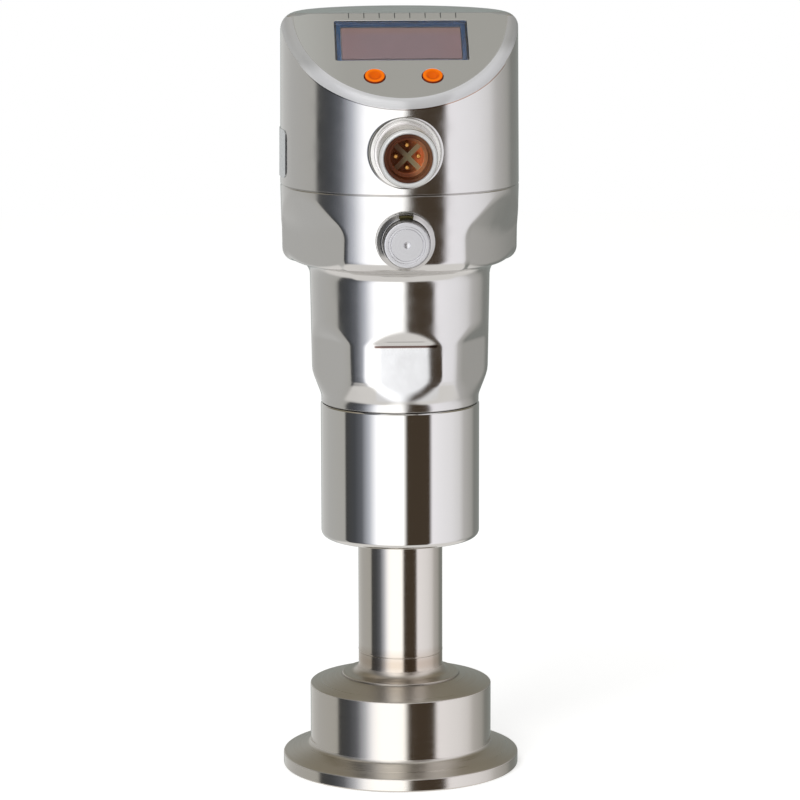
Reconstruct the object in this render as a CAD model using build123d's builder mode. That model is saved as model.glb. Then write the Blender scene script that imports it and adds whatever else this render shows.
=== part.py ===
from build123d import *
from math import atan, cos, degrees, radians, sin, tan
import os

# Hygienic pressure sensor, in millimetres.
# The origin is the centre of the flange's sealing face, +Z points up and -Y is the front.

# Clamp ferrule
flange_diameter = 50.5
rim_height = 2.75
rim_edge_radius = 0.4
flange_slope = 20.0
collar_diameter = 38.8
collar_height = 17.8
collar_edge_radius = 0.3
shoulder_slope = 15.7
shoulder_fillet = 4.7
ferrule_stub_length = 0.515
ferrule_bore_depth = 15.3
gasket_groove_land = 1.9
gasket_groove_width = 3.2
gasket_groove_depth = 1.3

# Process diaphragm and its oil chamber
diaphragm_diameter = 35.0
diaphragm_thickness = 0.15
diaphragm_setback = 0.3
diaphragm_wave_height = 0.15
diaphragm_waves = 4
weld_land = 1.2
oil_chamber_depth = 0.5

# Fill tube
capillary_diameter = 3.0
capillary_bore = 1.0

# Heat-break neck
neck_diameter = 18.0
neck_wall = 2.8
neck_exposed_length = 25.2
neck_spigot_length = 2.0

# Sensor barrel
barrel_diameter = 33.7
barrel_length = 29.0
barrel_wall = 4.45
barrel_floor = 6.0
barrel_edge_radius = 1.4
seam_chamfer = 0.25

# Pressure cell and the board above it
cell_flange_thickness = 3.0
cell_diameter = 19.0
cell_height = 10.5
cell_header_diameter = 13.0
cell_header_height = 1.0
cell_pin_count = 6
cell_pin_diameter = 0.6
cell_pin_circle = 9.0
cell_pin_length = 5.0
sensor_board_diameter = 22.0
sensor_board_gap = 2.4
board_thickness = 1.6

# Swivel between barrel and housing
spigot_disc_diameter = 27.2
spigot_disc_thickness = 4.0
spigot_diameter = 25.8
spigot_height = 8.0
spigot_bore = 19.0
swivel_clearance = 0.05
seam_gap = 0.1
swivel_seal_height = 2.3
swivel_seal_section = 1.2
seal_groove_play = 0.3
retaining_ring_thickness = 1.0
retaining_ring_width = 1.6
retaining_ring_lap = 0.7
retaining_ring_opening = 4.0
retaining_ring_play = 0.1
swivel_range = 345.0
stop_pin_diameter = 1.6
stop_pin_circle = 29.8
stop_pin_depth = 3.0
stop_pin_height = 1.6
stop_groove_side = 0.1
stop_groove_top = 0.3
stop_margin = 0.5

# Lower housing, a casting
housing_foot_diameter = 33.44
housing_foot_height = 1.75
housing_flare_slope = 21.0
housing_flare_height = 5.02
housing_foot_fillet = 3.5
housing_flare_fillet = 6.0
housing_waist_diameter = 38.1
housing_underside_height = 30.25
housing_underside_fillet = 1.8
housing_floor = 5.2
housing_ledge_height = 4.2
housing_lower_bore = 28.0
housing_bore = 29.6
head_base_taper = 0.32
head_base_fillet = 2.9
head_cavity_wall = 5.1
head_floor_rise = 4.5
head_diameter = 50.2
lower_head_height = 16.45

# Wrench flats on the waist
flat_count = 6
flat_width_across = 34.8
flat_draft = 1.5
flat_top_height = 14.5
flat_runout_slope = 26.0
flat_edge_blend = 4.0

# Cast facets on the flanks of the lower head
cheek_width_across = 44.0
cheek_straight_height = 8.35
cheek_fade_slope = 23.0
cheek_bearings = [60, 120, 180, 240, 300]

# Joint between the upper cover and the lower housing: the cover's lip enters the housing
cover_lip_depth = 3.6
cover_lip_wall = 2.0
cover_lip_play = 0.3
cover_wall = 2.3
cover_fit = 0.03
cover_seal_section = 1.3
cover_seal_drop = 2.0

# Upper cover with the slanted display face
cover_height = 35.8
cover_taper = 0.25
cover_roof = 2.3
face_lip_height = 19.1
face_slope = 36.5
face_thickness = 2.4
cover_edge_radius = 2.6

# Display window
window_width = 27.6
window_height = 12.5
window_up_slope = 19.34
window_edge_gap = 0.06
window_thickness = 1.0
window_setback = 0.2
frame_thickness = 0.3
frame_width = 1.25
display_gap = 0.1
display_side_gap = 0.15

# Boards
display_board_depth = 6.5
display_board_width = 34.0
display_board_low = 4.0
display_board_high = 27.0
display_board_chamfer = 8.0
board_boss_diameter = 3.4
board_boss_reach = 15.3
board_boss_low = 15.0
board_boss_high = 24.4
board_screw_diameter = 1.6
board_screw_head_diameter = 2.8
board_screw_head_height = 1.0
board_screw_length = 4.0
board_screw_slot_width = 0.4
board_screw_slot_depth = 0.4
main_board_width = 18.0
main_board_front = 9.6
main_board_headroom = 5.6
flex_width = 9.0
flex_thickness = 0.3
flex_bend_radius = 1.5
flex_overlap = 2.0
flex_reach = 5.0

# Board carrier
carrier_fit = 0.05
carrier_disc_thickness = 2.5
carrier_slot_depth = 1.0
carrier_hole = 6.0
carrier_post_height = 13.0
carrier_post_width = 2.6
carrier_post_depth = 4.4
carrier_slot_play = 0.05
carrier_slot_reach = 0.9

# Signal lead on the swivel axis
lead_diameter = 2.4
lead_end_gap = 0.1
socket_width = 8.0
socket_depth = 11.0
socket_height = 6.0
socket_above_carrier = 5.5

# Buttons
button_spacing = 11.86
button_up_slope = 8.09
button_diameter = 4.3
button_hole_clearance = 0.1
button_proud = 0.5
button_edge_radius = 0.25
button_dish_depth = 0.12
button_dish_diameter = 3.2
button_flange_diameter = 7.4
button_flange_thickness = 0.7
button_flange_gap = 0.05
button_travel = 0.6
button_stop_gap = 0.1
button_seal_seat = 1.0
button_seal_wall = 0.85
button_seal_thickness = 1.0
switch_width = 4.6
switch_height = 1.6
switch_plunger_diameter = 2.2

# Round connector
connector_height = 8.8
connector_boss_diameter = 14.4
connector_boss_proud = 0.9
connector_boss_fillet = 1.0
connector_ring_diameter = 13.0
connector_ring_length = 1.1
connector_thread_diameter = 12.0
connector_relief_diameter = 10.8
connector_relief_length = 0.8
connector_length = 11.1
connector_tip_diameter = 11.6
connector_shank_diameter = 11.4
connector_shank_length = 7.1
connector_shank_gap = 0.05
connector_bore = 9.9
connector_seal_section = 0.7
insert_fit = 0.02
insert_lip_setback = 0.4
insert_mouth_diameter = 8.4
insert_mouth_depth = 4.0
insert_well_diameter = 6.8
insert_well_depth = 5.0
insert_rib_thickness = 1.1
insert_rib_setback = 0.2
insert_tail = 2.0
pin_count = 4
pin_diameter = 1.0
pin_circle = 4.6
pin_setback = 0.6
pin_tip_radius = 0.3
pin_board_tail = 1.0

# Vent plug
vent_height = 7.1
vent_ring_diameter = 11.9
vent_ring_bevel = 0.6
vent_ring_proud = 2.4
vent_cone_length = 0.3
vent_cone_end_diameter = 10.0
vent_shank_diameter = 9.0
vent_shank_length = 6.5
vent_shank_gap = 0.04
vent_spot_depth = 0.75
vent_spot_margin = 0.15
vent_seal_thickness = 0.6
vent_seal_width = 0.8
vent_socket_diameter = 9.8
vent_socket_depth = 1.9
vent_bore = 3.6
vent_disc_diameter = 9.6
vent_disc_proud = 4.0
vent_disc_wall = 1.1
vent_disc_edge_radius = 0.35
vent_dimple_diameter = 1.4
vent_dimple_depth = 0.3
vent_membrane_thickness = 0.3
vent_membrane_diameter = 6.4
vent_notch_width = 2.9
vent_notch_height = 1.1
vent_notch_depth = 2.0
vent_notch_margin = 0.25

# Plate on the left flank of the cover
label_low = 1.8
label_high = 11.8
label_thickness = 0.2
label_start_bearing = 73.0
label_arc = 52.0
label_corner_radius = 1.6

# Heights that follow from the sizes above
flange_radius = flange_diameter / 2
collar_radius = collar_diameter / 2
neck_radius = neck_diameter / 2
neck_bore_radius = neck_radius - neck_wall
capillary_radius = capillary_diameter / 2
weld_gap = 0.02
shoulder_rise = (collar_radius - neck_radius) * tan(radians(shoulder_slope))
shoulder_run = shoulder_fillet * tan(radians((90 - shoulder_slope) / 2))
ferrule_height = collar_height + shoulder_rise + shoulder_run + ferrule_stub_length
barrel_base = ferrule_height + neck_exposed_length
barrel_top = barrel_base + barrel_length
barrel_radius = barrel_diameter / 2
barrel_cavity_radius = barrel_radius - barrel_wall
cell_base = barrel_base + barrel_floor
spigot_disc_base = barrel_top - spigot_disc_thickness
spigot_radius = spigot_diameter / 2
housing_base = barrel_top + seam_gap
floor_top = housing_base + housing_floor
carrier_base = floor_top + housing_ledge_height
underside = housing_base + housing_underside_height - seam_gap
head_seam = underside + lower_head_height
head_radius = head_diameter / 2
head_base_radius = head_radius - head_base_taper
cover_bore_radius = head_radius - cover_wall
cover_top = head_seam + cover_height


def turn(corners):
    """Draw a closed half section from (radius, height, corner fillet) entries."""
    points = [(radius, height) for radius, height, _ in corners]
    FilletPolyline(points, radius=[corner for _, _, corner in corners], close=True)


def at_front(distance, height):
    """Plane that faces the front, its origin on the centre line at the given distance."""
    return Plane(origin=(0, -distance, height), x_dir=(1, 0, 0), z_dir=(0, -1, 0))


# The slanted face: its plane starts at the front lip, with local Y up the slope
face = Plane(
    origin=(0, -head_radius, head_seam + face_lip_height),
    x_dir=(1, 0, 0),
    z_dir=(0, -sin(radians(face_slope)), cos(radians(face_slope))),
)


# Clamp ferrule: flange, collar and the fillet up to the neck
flange_cone_rise = (flange_radius - collar_radius) * tan(radians(flange_slope))
groove_outer = flange_radius - gasket_groove_land
groove_inner = groove_outer - gasket_groove_width
groove_flank = gasket_groove_width / 4
diaphragm_seat_radius = diaphragm_diameter / 2 + weld_gap
diaphragm_seat = diaphragm_setback + diaphragm_thickness
chamber_radius = diaphragm_diameter / 2 - weld_land
chamber_roof = diaphragm_seat + oil_chamber_depth
capillary_hole_radius = capillary_radius + weld_gap
ferrule_bore_floor = ferrule_height - ferrule_bore_depth

with BuildPart() as clamp_ferrule:
    with BuildSketch(Plane.XZ):
        with BuildLine():
            turn([
                (diaphragm_seat_radius, 0, 0),
                (groove_inner, 0, 0),
                (groove_inner + groove_flank, gasket_groove_depth, gasket_groove_depth / 2),
                (groove_outer - groove_flank, gasket_groove_depth, gasket_groove_depth / 2),
                (groove_outer, 0, 0),
                (flange_radius, 0, rim_edge_radius),
                (flange_radius, rim_height, rim_edge_radius),
                (collar_radius, rim_height + flange_cone_rise, 1.0),
                (collar_radius, collar_height, collar_edge_radius),
                (neck_radius, collar_height + shoulder_rise, shoulder_fillet),
                (neck_radius, ferrule_height, 0),
                (neck_bore_radius, ferrule_height, 0),
                (neck_bore_radius, ferrule_bore_floor, 1.0),
                (capillary_hole_radius, ferrule_bore_floor, 0),
                (capillary_hole_radius, chamber_roof, 0),
                (chamber_radius, chamber_roof, 0),
                (chamber_radius, diaphragm_seat, 0),
                (diaphragm_seat_radius, diaphragm_seat, 0),
            ])
        make_face()
    revolve(axis=Axis.Z)

# Process diaphragm: a thin disc with ring-shaped waves, welded at its rim
wave_inner = capillary_diameter
wave_outer = chamber_radius - weld_land
wave_pitch = (wave_outer - wave_inner) / (2 * diaphragm_waves)
wave_line = []
for step in range(2 * diaphragm_waves + 1):
    wave_drop = diaphragm_wave_height if step % 2 else 0
    wave_line.append((wave_inner + step * wave_pitch, diaphragm_seat - wave_drop))
upper_side = [(0, diaphragm_seat)] + wave_line + [(diaphragm_diameter / 2, diaphragm_seat)]
lower_side = [(radius, height - diaphragm_thickness) for radius, height in reversed(upper_side)]

with BuildPart() as process_diaphragm:
    with BuildSketch(Plane.XZ):
        with BuildLine():
            Polyline(upper_side + lower_side, close=True)
        make_face()
    revolve(axis=Axis.Z)

# Fill tube from the oil chamber to the cell
with BuildPart() as capillary_tube:
    with BuildSketch(Plane.XY.offset(chamber_roof)):
        Circle(capillary_radius)
        Circle(capillary_bore / 2, mode=Mode.SUBTRACT)
    extrude(amount=cell_base - chamber_roof)

# Heat-break neck, welded to the ferrule and let into the barrel's floor
with BuildPart() as neck_tube:
    with BuildSketch(Plane.XY.offset(ferrule_height)):
        Circle(neck_radius)
        Circle(neck_bore_radius, mode=Mode.SUBTRACT)
    extrude(amount=neck_exposed_length + neck_spigot_length)

# Sensor barrel
neck_seat = barrel_base + neck_spigot_length
spigot_seat_radius = spigot_disc_diameter / 2 + weld_gap

with BuildPart() as sensor_barrel:
    with BuildSketch(Plane.XZ):
        with BuildLine():
            turn([
                (neck_radius + weld_gap, barrel_base, 0),
                (barrel_radius, barrel_base, barrel_edge_radius),
                (barrel_radius, barrel_top - seam_chamfer, 0),
                (barrel_radius - seam_chamfer, barrel_top, 0),
                (spigot_seat_radius, barrel_top, 0),
                (spigot_seat_radius, spigot_disc_base, 0),
                (barrel_cavity_radius, spigot_disc_base, 0),
                (barrel_cavity_radius, cell_base, 0.5),
                (capillary_hole_radius, cell_base, 0),
                (capillary_hole_radius, neck_seat, 0),
                (neck_radius + weld_gap, neck_seat, 0),
            ])
        make_face()
    revolve(axis=Axis.Z)
    with Locations((0, -stop_pin_circle / 2, barrel_top)):
        Hole(stop_pin_diameter / 2 + weld_gap, stop_pin_depth)

# Pressure cell: its flange stands on the barrel's floor, over the fill tube
cell_top = cell_base + cell_height
cell_flange_radius = barrel_cavity_radius - 0.5 - weld_gap

with BuildPart() as pressure_cell:
    with BuildSketch(Plane.XZ):
        with BuildLine():
            turn([
                (0, cell_base, 0),
                (cell_flange_radius, cell_base, 0),
                (cell_flange_radius, cell_base + cell_flange_thickness, 0.3),
                (cell_diameter / 2, cell_base + cell_flange_thickness, 0.5),
                (cell_diameter / 2, cell_top, 0.4),
                (cell_header_diameter / 2, cell_top, 0),
                (cell_header_diameter / 2, cell_top + cell_header_height, 0.3),
                (0, cell_top + cell_header_height, 0),
            ])
        make_face()
    revolve(axis=Axis.Z)

# Contact pins of the cell, soldered into the board above
with BuildPart() as cell_pins:
    with BuildSketch(Plane.XY.offset(cell_top + cell_header_height)):
        with PolarLocations(cell_pin_circle / 2, cell_pin_count):
            Circle(cell_pin_diameter / 2)
    extrude(amount=cell_pin_length)

# Round board above the cell
sensor_board_base = cell_top + cell_header_height + sensor_board_gap
sensor_board_top = sensor_board_base + board_thickness

with BuildPart() as sensor_board:
    with BuildSketch(Plane.XY.offset(sensor_board_base)):
        Circle(sensor_board_diameter / 2)
        with PolarLocations(cell_pin_circle / 2, cell_pin_count):
            Circle(cell_pin_diameter / 2 + weld_gap, mode=Mode.SUBTRACT)
    extrude(amount=board_thickness)

# Swivel spigot: its disc is held in the barrel, its neck carries the housing
spigot_top = barrel_top + spigot_height
swivel_groove_low = barrel_top + swivel_seal_height - swivel_seal_section / 2 - seal_groove_play / 2
swivel_groove_high = swivel_groove_low + swivel_seal_section + seal_groove_play
swivel_groove_radius = spigot_radius - swivel_seal_section
ring_low = floor_top + retaining_ring_play
ring_high = ring_low + retaining_ring_thickness
ring_groove_radius = spigot_radius - retaining_ring_lap

with BuildPart() as swivel_spigot:
    with BuildSketch(Plane.XZ):
        with BuildLine():
            turn([
                (spigot_bore / 2, spigot_disc_base, 0.3),
                (spigot_disc_diameter / 2, spigot_disc_base, 0),
                (spigot_disc_diameter / 2, barrel_top, 0),
                (spigot_radius, barrel_top, 0),
                (spigot_radius, swivel_groove_low, 0),
                (swivel_groove_radius, swivel_groove_low, 0),
                (swivel_groove_radius, swivel_groove_high, 0),
                (spigot_radius, swivel_groove_high, 0),
                (spigot_radius, ring_low, 0),
                (ring_groove_radius, ring_low, 0),
                (ring_groove_radius, ring_high + weld_gap, 0),
                (spigot_radius, ring_high + weld_gap, 0),
                (spigot_radius, spigot_top, 0.5),
                (spigot_bore / 2, spigot_top, 0.3),
            ])
        make_face()
    revolve(axis=Axis.Z)

# Round seal in the spigot's lower groove
swivel_seal_centre = (swivel_groove_low + swivel_groove_high) / 2

with BuildPart() as swivel_seal:
    with BuildSketch(Plane.XZ):
        with Locations((spigot_radius - swivel_seal_section / 2 + weld_gap, swivel_seal_centre)):
            Circle(swivel_seal_section / 2)
    revolve(axis=Axis.Z)

# Open ring in the spigot's upper groove, over the housing's floor
ring_inner = ring_groove_radius + weld_gap

with BuildPart() as retaining_ring:
    with BuildSketch(Plane.XY.offset(ring_low)):
        Circle(ring_inner + retaining_ring_width)
        Circle(ring_inner, mode=Mode.SUBTRACT)
        with Locations((0, spigot_radius)):
            Rectangle(retaining_ring_opening, 2 * retaining_ring_width, mode=Mode.SUBTRACT)
    extrude(amount=retaining_ring_thickness)

# Stop pin in the barrel's top face
with BuildPart() as stop_pin:
    with BuildSketch(Plane.XY.offset(barrel_top - stop_pin_depth)):
        with Locations((0, -stop_pin_circle / 2)):
            Circle(stop_pin_diameter / 2)
    extrude(amount=stop_pin_depth + stop_pin_height)

# Lower housing
foot_radius = housing_foot_diameter / 2
flare_low = housing_base - seam_gap + housing_foot_height
flare_high = flare_low + housing_flare_height
flare_radius = foot_radius + housing_flare_height * tan(radians(housing_flare_slope))
waist_radius = housing_waist_diameter / 2
swivel_bore_radius = spigot_radius + swivel_clearance
lip_floor = head_seam - cover_lip_depth - cover_lip_play
head_cavity_radius = head_radius - head_cavity_wall
underside_land = head_base_radius - waist_radius - housing_underside_fillet
head_base_blend = min(head_base_fillet, underside_land)

flat_distance = flat_width_across / 2
flat_top = housing_base + flat_top_height - seam_gap
flat_outer = waist_radius + 4
flat_foot_distance = flat_distance - (flat_top - housing_base) * tan(radians(flat_draft))
flat_runout_rise = (flat_outer - flat_distance) / tan(radians(flat_runout_slope))

cheek_distance = cheek_width_across / 2
cheek_fade_start = underside + cheek_straight_height
cheek_outer = head_radius + 1
vent_centre = underside + vent_height
vent_seat = head_radius - vent_spot_depth
cheek_fade_end = cheek_fade_start + (cheek_outer - cheek_distance) / tan(radians(cheek_fade_slope))

with BuildPart() as lower_housing:
    with BuildSketch(Plane.XZ):
        with BuildLine():
            turn([
                (swivel_bore_radius, housing_base, 0),
                (foot_radius - seam_chamfer, housing_base, 0),
                (foot_radius, housing_base + seam_chamfer, 0),
                (foot_radius, flare_low, housing_foot_fillet),
                (flare_radius, flare_high, housing_flare_fillet),
                (waist_radius, underside, housing_underside_fillet),
                (head_base_radius, underside, head_base_blend),
                (head_radius, head_seam - seam_chamfer, 0),
                (head_radius - seam_chamfer, head_seam, 0),
                (cover_bore_radius, head_seam, 0),
                (cover_bore_radius, lip_floor, 0),
                (head_cavity_radius, lip_floor, 0.5),
                (head_cavity_radius, underside + head_floor_rise, 2.0),
                (housing_bore / 2, underside, 2.0),
                (housing_bore / 2, carrier_base, 0),
                (housing_lower_bore / 2, carrier_base, 0),
                (housing_lower_bore / 2, floor_top, 0),
                (swivel_bore_radius, floor_top, 0),
            ])
        make_face()
    revolve(axis=Axis.Z)

    # Wrench flats: straight below, running out in a slope above
    for index in range(flat_count):
        bearing = 360 / flat_count * index
        cutting_plane = Plane.YZ.rotated((0, 0, bearing), ordering=Extrinsic.XYZ)
        with BuildSketch(cutting_plane):
            with BuildLine():
                Polyline(
                    (-flat_foot_distance, housing_base),
                    (-flat_distance, flat_top),
                    (-flat_outer, flat_top + flat_runout_rise),
                    (-flat_outer, housing_base),
                    close=True,
                )
            make_face()
        extrude(amount=flat_outer, both=True, mode=Mode.SUBTRACT)
    upright_edges = lower_housing.edges().filter_by(
        lambda edge: edge.geom_type in (GeomType.ELLIPSE, GeomType.BSPLINE)
        and edge.center(CenterOf.BOUNDING_BOX).Z < flat_top
    )
    fillet(upright_edges, flat_edge_blend)

    # Facets on the flanks of the head
    for bearing in cheek_bearings:
        cutting_plane = Plane.YZ.rotated((0, 0, bearing), ordering=Extrinsic.XYZ)
        with BuildSketch(cutting_plane):
            with BuildLine():
                Polyline(
                    (-cheek_distance, underside - 1),
                    (-cheek_distance, cheek_fade_start),
                    (-cheek_outer, cheek_fade_end),
                    (-cheek_outer, underside - 1),
                    close=True,
                )
            make_face()
        extrude(amount=head_radius, both=True, mode=Mode.SUBTRACT)

    # Groove for the stop pin, with the land that ends the turn at the back
    land_angle = 360 - swivel_range - 2 * degrees(atan(stop_pin_diameter / stop_pin_circle))
    land_width = radians(land_angle) * stop_pin_circle / 2 - stop_margin
    groove_half_width = stop_pin_diameter / 2 + stop_groove_side
    with BuildSketch(Plane.XY.offset(housing_base)):
        Circle(stop_pin_circle / 2 + groove_half_width)
        Circle(stop_pin_circle / 2 - groove_half_width, mode=Mode.SUBTRACT)
        with Locations((0, stop_pin_circle / 2)):
            Rectangle(land_width, 3 * stop_pin_diameter, mode=Mode.SUBTRACT)
    extrude(amount=stop_pin_height - seam_gap + stop_groove_top, mode=Mode.SUBTRACT)

    # Hole and spot face for the vent plug
    with BuildSketch(at_front(vent_seat, vent_centre)):
        Circle(vent_ring_diameter / 2 + vent_spot_margin)
    extrude(amount=2, mode=Mode.SUBTRACT)
    with BuildSketch(at_front(vent_seat, vent_centre)):
        Circle(vent_shank_diameter / 2 + vent_shank_gap)
    extrude(amount=-2 * vent_shank_length, mode=Mode.SUBTRACT)

# Round seal around the cover's lip
lip_radius = cover_bore_radius - cover_fit
lip_low = head_seam - cover_lip_depth
lip_bore_radius = lip_radius - cover_lip_wall
seal_groove_radius = lip_radius - cover_seal_section
seal_middle = head_seam - cover_seal_drop
seal_groove_low = seal_middle - cover_seal_section / 2 - weld_gap
seal_groove_high = seal_middle + cover_seal_section / 2 + weld_gap

with BuildPart() as cover_seal:
    with BuildSketch(Plane.XZ):
        with Locations((lip_radius - cover_seal_section / 2 + weld_gap / 2, seal_middle)):
            Circle(cover_seal_section / 2)
    revolve(axis=Axis.Z)

# Places on the slanted face, measured up the slope from its front lip
cover_top_radius = head_radius - cover_taper
connector_centre = head_seam + connector_height
connector_seat = head_radius + connector_boss_proud
pocket_depth = window_setback + window_thickness + frame_thickness
board_base_depth = display_board_depth + board_thickness
button_places = [(-button_spacing / 2, button_up_slope), (button_spacing / 2, button_up_slope)]
button_hole_radius = button_diameter / 2 + button_hole_clearance
button_seal_radius = button_hole_radius + button_seal_wall
boss_places = []
for side in (-board_boss_reach, board_boss_reach):
    for up_slope in (board_boss_low, board_boss_high):
        boss_places.append((side, up_slope))

# Room inside the upper cover
with BuildPart() as cover_cavity:
    with BuildSketch(Plane.XZ):
        with BuildLine():
            turn([
                (0, lip_low, 0),
                (lip_bore_radius, lip_low, 0),
                (lip_bore_radius, head_seam, 0),
                (cover_bore_radius, head_seam + cover_lip_wall, 0),
                (cover_top_radius - cover_wall, cover_top - cover_roof, 1.5),
                (0, cover_top - cover_roof, 0),
            ])
        make_face()
    revolve(axis=Axis.Z)
    with BuildSketch(face.offset(-face_thickness)):
        Rectangle(3 * head_diameter, 3 * head_diameter)
    extrude(amount=head_diameter, mode=Mode.SUBTRACT)

# Upper cover
with BuildPart() as upper_cover:
    with BuildSketch(Plane.XZ):
        with BuildLine():
            turn([
                (0, lip_low, 0),
                (lip_radius, lip_low, 0.3),
                (lip_radius, seal_groove_low, 0),
                (seal_groove_radius, seal_groove_low, 0),
                (seal_groove_radius, seal_groove_high, 0),
                (lip_radius, seal_groove_high, 0),
                (lip_radius, head_seam, 0),
                (head_radius - seam_chamfer, head_seam, 0),
                (head_radius, head_seam + seam_chamfer, 0),
                (cover_top_radius, cover_top, 0),
                (0, cover_top, 0),
            ])
        make_face()
    revolve(axis=Axis.Z)
    with BuildSketch(face):
        Rectangle(3 * head_diameter, 3 * head_diameter)
    extrude(amount=head_diameter, mode=Mode.SUBTRACT)
    top_edges = upper_cover.faces().sort_by(Axis.Z)[-1].edges()
    slope_edges = upper_cover.faces().sort_by(face.location.z_axis)[-1].edges()
    fillet((top_edges + slope_edges).filter_by(GeomType.LINE, reverse=True), cover_edge_radius)

    # Boss under the connector
    with BuildSketch(at_front(cover_bore_radius, connector_centre)):
        Circle(connector_boss_diameter / 2)
    extrude(amount=connector_seat - cover_bore_radius)
    boss_foot = upper_cover.edges(Select.LAST).filter_by(GeomType.BSPLINE)
    fillet(boss_foot, connector_boss_fillet)
    add(cover_cavity.part, mode=Mode.SUBTRACT)
    with BuildSketch(at_front(connector_seat, connector_centre)):
        Circle(connector_shank_diameter / 2 + connector_shank_gap)
    extrude(amount=-2 * connector_shank_length, mode=Mode.SUBTRACT)
    with BuildSketch(at_front(connector_seat, connector_centre)):
        Circle(connector_shank_diameter / 2 + connector_seal_section)
    extrude(amount=-connector_seal_section, mode=Mode.SUBTRACT)

    # Bosses that carry the display board
    with BuildSketch(face.offset(-display_board_depth)):
        with Locations(*boss_places):
            Circle(board_boss_diameter / 2)
    extrude(amount=display_board_depth - face_thickness / 2)
    with BuildSketch(face.offset(-display_board_depth)):
        with Locations(*boss_places):
            Circle(board_screw_diameter / 2 + weld_gap)
    extrude(amount=board_screw_length - board_thickness + 0.3, mode=Mode.SUBTRACT)

    # Window pocket with its ledge
    with BuildSketch(face):
        with Locations((0, window_up_slope)):
            Rectangle(window_width, window_height)
    extrude(amount=-pocket_depth, mode=Mode.SUBTRACT)
    with BuildSketch(face):
        with Locations((0, window_up_slope)):
            Rectangle(window_width - 2 * frame_width, window_height - 2 * frame_width)
    extrude(amount=-2 * face_thickness, mode=Mode.SUBTRACT)

    # Button holes, wider inside for their seals
    with BuildSketch(face):
        with Locations(*button_places):
            Circle(button_hole_radius)
    extrude(amount=-2 * face_thickness, mode=Mode.SUBTRACT)
    with BuildSketch(face.offset(-button_seal_seat)):
        with Locations(*button_places):
            Circle(button_seal_radius)
    extrude(amount=-face_thickness, mode=Mode.SUBTRACT)

# Window pane, and the coloured frame glued under its edge
with BuildPart() as display_window:
    with BuildSketch(face.offset(-window_setback)):
        with Locations((0, window_up_slope)):
            Rectangle(window_width - 2 * window_edge_gap, window_height - 2 * window_edge_gap)
    extrude(amount=-window_thickness)

with BuildPart() as display_frame:
    with BuildSketch(face.offset(-window_setback - window_thickness)):
        with Locations((0, window_up_slope)):
            Rectangle(window_width - 2 * window_edge_gap, window_height - 2 * window_edge_gap)
            Rectangle(window_width - 2 * frame_width, window_height - 2 * frame_width, mode=Mode.SUBTRACT)
    extrude(amount=-frame_thickness)

# Display module, standing on its board under the pane
module_depth = window_setback + window_thickness + display_gap
module_width = window_width - 2 * frame_width - 2 * display_side_gap
module_height = window_height - 2 * frame_width - 2 * display_side_gap

with BuildPart() as display_module:
    with BuildSketch(face.offset(-display_board_depth)):
        with Locations((0, window_up_slope)):
            Rectangle(module_width, module_height)
    extrude(amount=display_board_depth - module_depth)

# Display board, screwed to four bosses of the cover
half_board = display_board_width / 2

with BuildPart() as display_board:
    with BuildSketch(face.offset(-display_board_depth)):
        with BuildLine():
            Polyline(
                (display_board_chamfer - half_board, display_board_low),
                (half_board - display_board_chamfer, display_board_low),
                (half_board, display_board_low + display_board_chamfer),
                (half_board, display_board_high),
                (-half_board, display_board_high),
                (-half_board, display_board_low + display_board_chamfer),
                close=True,
            )
        make_face()
        with Locations(*boss_places):
            Circle(board_screw_diameter / 2 + weld_gap, mode=Mode.SUBTRACT)
    extrude(amount=-board_thickness)

with BuildPart() as board_screws:
    with BuildSketch(face.offset(-board_base_depth)):
        with Locations(*boss_places):
            Circle(board_screw_head_diameter / 2)
    extrude(amount=-board_screw_head_height)
    with BuildSketch(face.offset(-board_base_depth)):
        with Locations(*boss_places):
            Circle(board_screw_diameter / 2)
    extrude(amount=board_screw_length)
    with BuildSketch(face.offset(-board_base_depth - board_screw_head_height)):
        with Locations(*boss_places):
            Rectangle(board_screw_head_diameter, board_screw_slot_width)
    extrude(amount=board_screw_slot_depth, mode=Mode.SUBTRACT)

# Buttons with their seals and switches
flange_top_depth = face_thickness + button_flange_gap
flange_base_depth = flange_top_depth + button_flange_thickness
plunger_depth = flange_base_depth + button_travel + button_stop_gap
dish_radius = (button_dish_diameter ** 2 / 4 + button_dish_depth ** 2) / (2 * button_dish_depth)


def make_button(place):
    """Button with a retaining flange under the cover and a dished top."""
    with BuildPart() as button:
        with BuildSketch(face.offset(-flange_base_depth)):
            with Locations(place):
                Circle(button_flange_diameter / 2)
        extrude(amount=button_flange_thickness)
        with BuildSketch(face.offset(-flange_base_depth)):
            with Locations(place):
                Circle(button_diameter / 2)
        extrude(amount=flange_base_depth + button_proud)
        rim = button.edges().sort_by(face.location.z_axis)[-1]
        fillet(rim, button_edge_radius)
        dish_centre = face.offset(button_proud - button_dish_depth + dish_radius)
        with Locations(dish_centre.location * Location((place[0], place[1], 0))):
            Sphere(dish_radius, mode=Mode.SUBTRACT)
    return button


def make_button_seal(place):
    """Flat ring round a button's stem, in the cover's inner counterbore."""
    with BuildPart() as seal:
        with BuildSketch(face.offset(-button_seal_seat)):
            with Locations(place):
                Circle(button_seal_radius - weld_gap)
                Circle(button_diameter / 2 + button_hole_clearance / 2, mode=Mode.SUBTRACT)
        extrude(amount=-button_seal_thickness)
    return seal


def make_switch(place):
    """Tactile switch on the display board, its plunger just below the button."""
    with BuildPart() as switch:
        with BuildSketch(face.offset(-display_board_depth)):
            with Locations(place):
                Rectangle(switch_width, switch_width)
        extrude(amount=switch_height)
        with BuildSketch(face.offset(-display_board_depth)):
            with Locations(place):
                Circle(switch_plunger_diameter / 2)
        extrude(amount=display_board_depth - plunger_depth)
    return switch


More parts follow.
